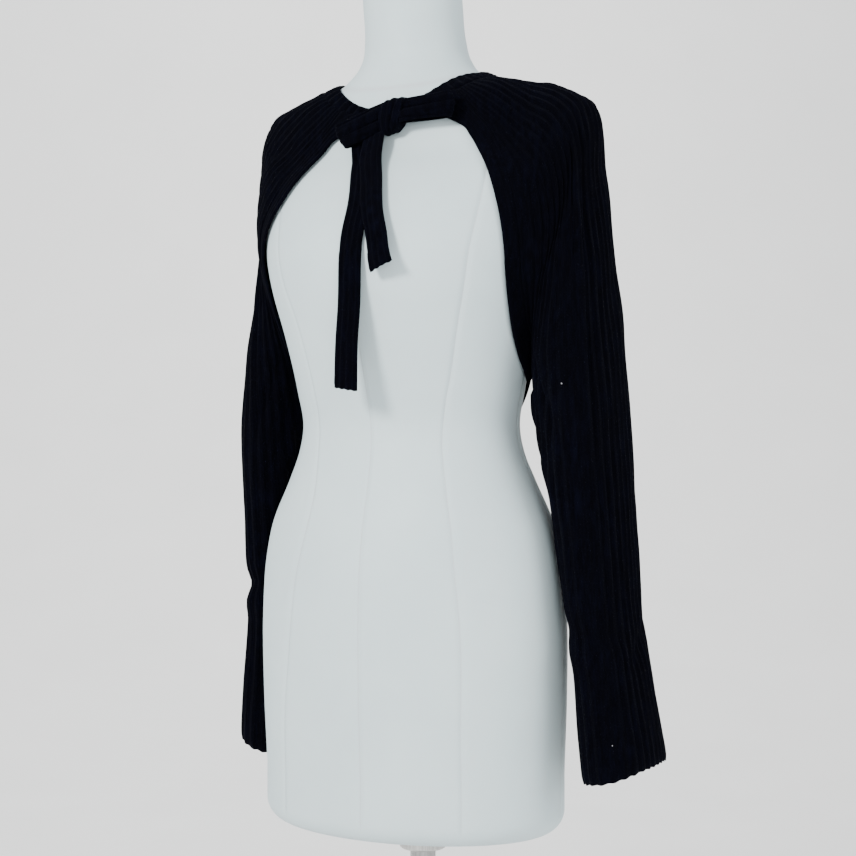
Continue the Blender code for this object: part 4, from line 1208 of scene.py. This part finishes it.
def knit_material(name, stitch_depth, speck_share):
    """Black knit: chevron stitches along the ribs, coloured lighter on their crests as a painted highlight
    and darker between them as painted shade, a fuzz over them, and a few pale specks of lint.
    """
    shader = Shader(name)
    maths, mapped = shader.maths, shader.mapped
    places = shader.node("ShaderNodeUVMap", uv_map="knit").outputs[0]
    across, along = shader.node("ShaderNodeSeparateXYZ", {0: places}).outputs[:2]
    column = maths("FRACT", across)
    turn = maths("ADD", along, maths("ABSOLUTE", maths("SUBTRACT", column, 0.5)))
    loops = maths("SINE", maths("MULTIPLY", turn, 2 * math.pi))
    body = maths("SINE", maths("MULTIPLY", column, math.pi))
    stitch = maths("MULTIPLY", mapped(loops, -1.0, 1.0, 0.25), body)
    fuzz, broad = shader.noise(620.0, 5.0, 0.7), shader.noise(34.0, 4.0, 0.6)
    lint = shader.spots(62.0, mapped(fuzz, 0.3, 0.7, 0.02, 0.06), 0, speck_share)
    streak = shader.noise((210.0, 210.0, 42.0), 4.0, 0.65)
    uneven = maths("MULTIPLY", mapped(streak, 0.42, 0.68), mapped(broad, 0.35, 0.65, 0.2))
    base = shader.mixed(uneven, KNIT_DARK, KNIT_LIGHT)
    # Painted highlight: the stitches' raised crests are coloured lighter, with painted shade left between
    # them
    base = shader.mixed(maths("MULTIPLY", stitch, mapped(uneven, 0.0, 1.0, 0.15, 0.6)), base, KNIT_CREST_PAINTED_HIGHLIGHT)
    base = shader.mixed(mapped(fuzz, 0.52, 0.78, 0.0, 0.5), base, KNIT_FIBRE)
    values = {
        "Base Color": shader.mixed(lint, base, LINT),
        "Roughness": mapped(broad, 0.3, 0.7, 0.88),
        "Specular IOR Level": KNIT_GLOSS,
        "Sheen Weight": KNIT_SHEEN,
        "Sheen Roughness": KNIT_SHEEN_ROUGHNESS,
        "Sheen Tint": (*KNIT_SHEEN_TINT, 1.0),
    }
    pills = (shader.cells(190.0)["Distance"], PILL_DEPTH, 0.5)
    return shader.finished(values, (stitch, stitch_depth, 0.6), pills, (fuzz, FUZZ_DEPTH, 0.8))


def cover_material():
    """The form's pale cover: matt, faintly mottled, with darker seams, scuffs and small marks."""
    shader = Shader("form_cover_worn")
    broad, scuff = shader.noise(7.0, 5.0, 0.6), shader.noise((60.0, 60.0, 9.0), 6.0, 0.75)
    seam = shader.node("ShaderNodeAttribute", attribute_name="seam").outputs["Fac"]
    base = shader.mixed(shader.mapped(broad, 0.3, 0.7), COVER_DARK, COVER_LIGHT)
    base = shader.mixed(shader.mapped(scuff, 0.60, 0.80, 0.0, 0.45), base, COVER_SCUFF)
    base = shader.mixed(shader.maths("MULTIPLY", shader.spots(26.0, 0.045, 1, 0.09), 0.5), base, COVER_MARK)
    values = {
        "Base Color": shader.mixed(shader.maths("MULTIPLY", seam, 0.55), base, COVER_SEAM),
        "Roughness": shader.mapped(scuff, 0.3, 0.8, 0.50, 0.68),
        "Specular IOR Level": COVER_GLOSS,
    }
    return shader.finished(values, (shader.noise(420.0, 3.0), 0.0002, 0.35))


def metal_material():
    """Satin steel with fine brushing and faint smudges."""
    shader = Shader("stand_steel")
    brushed = shader.noise((700.0, 700.0, 14.0), 4.0)
    values = {
        "Base Color": shader.mixed(shader.mapped(brushed, 0.3, 0.7), STEEL_DARK, STEEL_LIGHT),
        "Roughness": shader.mapped(shader.noise(18.0, 4.0), 0.3, 0.7, 0.26, 0.44),
        "Metallic": 1.0,
    }
    return shader.finished(values, (brushed, 0.0001, 0.3))


def studio_material():
    """The studio's matt paint."""
    shader = Shader("studio_paint")
    base = shader.mixed(shader.mapped(shader.noise(3.0, 5.0), 0.3, 0.7), WALL_DARK, WALL_LIGHT)
    values = {"Base Color": base, "Roughness": 0.9}
    return shader.finished(values, (shader.noise(260.0, 3.0), 0.0006, 0.35))


# Studio
def make_sweep(ahead, right, surface):
    """The floor, curved up into the wall far behind the form."""
    turn = np.linspace(0, math.pi / 2, COVE_STEPS)
    along = [-WALL_BEHIND, *(WALL_BEHIND - COVE_RADIUS * (1 - np.sin(turn))), WALL_BEHIND]
    height = [0.0, *(COVE_RADIUS * (1 - np.cos(turn))), WALL_HEIGHT]
    points = []
    for side in (-STUDIO_HALF_WIDTH, STUDIO_HALF_WIDTH):
        points += [tuple(ahead * a + right * side + np.array([0, 0, z])) for a, z in zip(along, height)]
    count = len(along)
    mesh = bpy.data.meshes.new("studio_sweep")
    mesh.from_pydata(points, [], [(i, i + 1, count + i + 1, count + i) for i in range(count - 1)])
    mesh.shade_smooth()
    mesh.materials.append(surface)
    placed("studio_sweep", mesh)


def area_light(name, place, target, size, power, colour):
    lamp = bpy.data.lights.new(name, "AREA")
    lamp.shape, lamp.size, lamp.energy, lamp.color = "DISK", size, power, colour
    made = placed(name, lamp)
    made.location = place
    aim = mathutils.Vector(target) - mathutils.Vector(place)
    made.rotation_euler = aim.to_track_quat("-Z", "Y").to_euler()


def make_studio():
    ahead = np.array([-math.sin(CAMERA_AZIMUTH), math.cos(CAMERA_AZIMUTH), 0.0])
    right = np.array([math.cos(CAMERA_AZIMUTH), math.sin(CAMERA_AZIMUTH), 0.0])
    up = np.array([0.0, 0.0, 1.0])
    lens = bpy.data.cameras.new("camera")
    lens.lens, lens.sensor_width, lens.shift_x = LENS_MM, SENSOR_MM, SHIFT_X
    lens.dof.use_dof = False
    camera = placed("camera", lens)
    camera.location = tuple(up * CAMERA_HEIGHT - ahead * CAMERA_DISTANCE)
    camera.rotation_euler = (math.pi / 2, 0.0, CAMERA_AZIMUTH)
    bpy.context.scene.camera = camera
    make_sweep(ahead, right, studio_material())
    for name, sideways, towards, height, size, power, colour in LIGHTS:
        place = right * sideways - ahead * towards + up * height
        area_light(name, place, (0, 0, LIGHTS_AIM), size, power, colour)
    sideways, forwards, height, target, size, power, colour = WALL_LAMP
    place, target = ahead * forwards + up * height, ahead * WALL_BEHIND + right * sideways + up * target
    area_light("wall", place, target, size, power, colour)
    world = bpy.data.worlds.new("studio")
    world.use_nodes = True
    background = world.node_tree.nodes["Background"]
    background.inputs[0].default_value = (*WORLD_COLOUR, 1.0)
    background.inputs[1].default_value = WORLD_STRENGTH
    bpy.context.scene.world = world


def make_cloth():
    """Every cloth piece, keyed by the solid that it stands for."""
    knit = knit_material("knit_black", stitch_depth=0.0007, speck_share=0.012)
    fine_knit = knit_material("knit_black_fine", stitch_depth=0.0004, speck_share=0.010)
    left = yoke_edges(LEFT_EDGE, LEFT_BAND_ANGLES)
    right = yoke_edges(RIGHT_EDGE, RIGHT_BAND_ANGLES)
    pieces = {
        "sleeve_left": sleeve_piece("sleeve_left_knit", 1, left, LEFT_FOLDS, 3, knit),
        "sleeve_right": sleeve_piece("sleeve_right_knit", -1, right, RIGHT_FOLDS, 4, knit),
        "neckband": neckband_piece(fine_knit),
        "front_band_left": front_band_piece("front_band_left_knit", 1, left, LEFT_BAND_ANGLES, fine_knit),
        "front_band_right": front_band_piece(
            "front_band_right_knit", -1, right, RIGHT_BAND_ANGLES, fine_knit
        ),
        "bow_knot": knot_piece(fine_knit),
        "bow_loop_left": loop_piece("bow_loop_left_knit", LEFT_LOOP, LEFT_LOOP_GATHERED, 21, fine_knit),
        "bow_loop_right": loop_piece("bow_loop_right_knit", RIGHT_LOOP, 0.0, 22, fine_knit),
    }
    tails = (
        ("tie_tail_long", LONG_TAIL, LONG_TAIL_END_SLOPE, CLOTH_CLEARANCE, 1),
        ("tie_tail_short", SHORT_TAIL, SHORT_TAIL_END_SLOPE, SHORT_TAIL_CLEARANCE, 2),
    )
    for tail, *values in tails:
        pieces[tail] = tail_piece(tail + "_knit", *values, fine_knit)
    pieces["back_panel"], pieces["back_hem_band"] = back_pieces(left, knit)
    return pieces


def main():
    make_studio()
    pieces = make_cloth()
    for solid, piece in pieces.items():
        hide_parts(solid)

    cover, steel = cover_material(), metal_material()
    form = form_piece(cover)
    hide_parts("form_torso")
    top, neck, neck_y = FORM_ROWS[-1][:3]
    cap_low, pole_low, collar_high = top + SEAM_GAP, BASE_THICKNESS + SEAM_GAP, FORM_BOTTOM - SEAM_GAP
    cap_high, collar_low = cap_low + CAP_THICKNESS, collar_high - COLLAR_LENGTH
    pole_high = collar_low - SEAM_GAP
    rim = BASE_RIM_RADIUS
    turned = (
        # solid, radius, low, high, rim, middle_y
        ("form_neck_cap", neck + CAP_OVERHANG, cap_low, cap_high, rim, neck_y),
        ("stand_base", BASE_RADIUS, 0.0, BASE_THICKNESS, rim, 0.0),
        ("stand_pole", POLE_RADIUS, pole_low, pole_high, POLE_RIM_RADIUS, 0.0),
        ("stand_collar", COLLAR_RADIUS, collar_low, collar_high, rim, 0.0),
    )
    for solid, *values in turned:
        of_form = solid == "form_neck_cap"
        piece = turned_piece(solid + "_turned", *values, cover if of_form else steel)
        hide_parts(solid)


main()
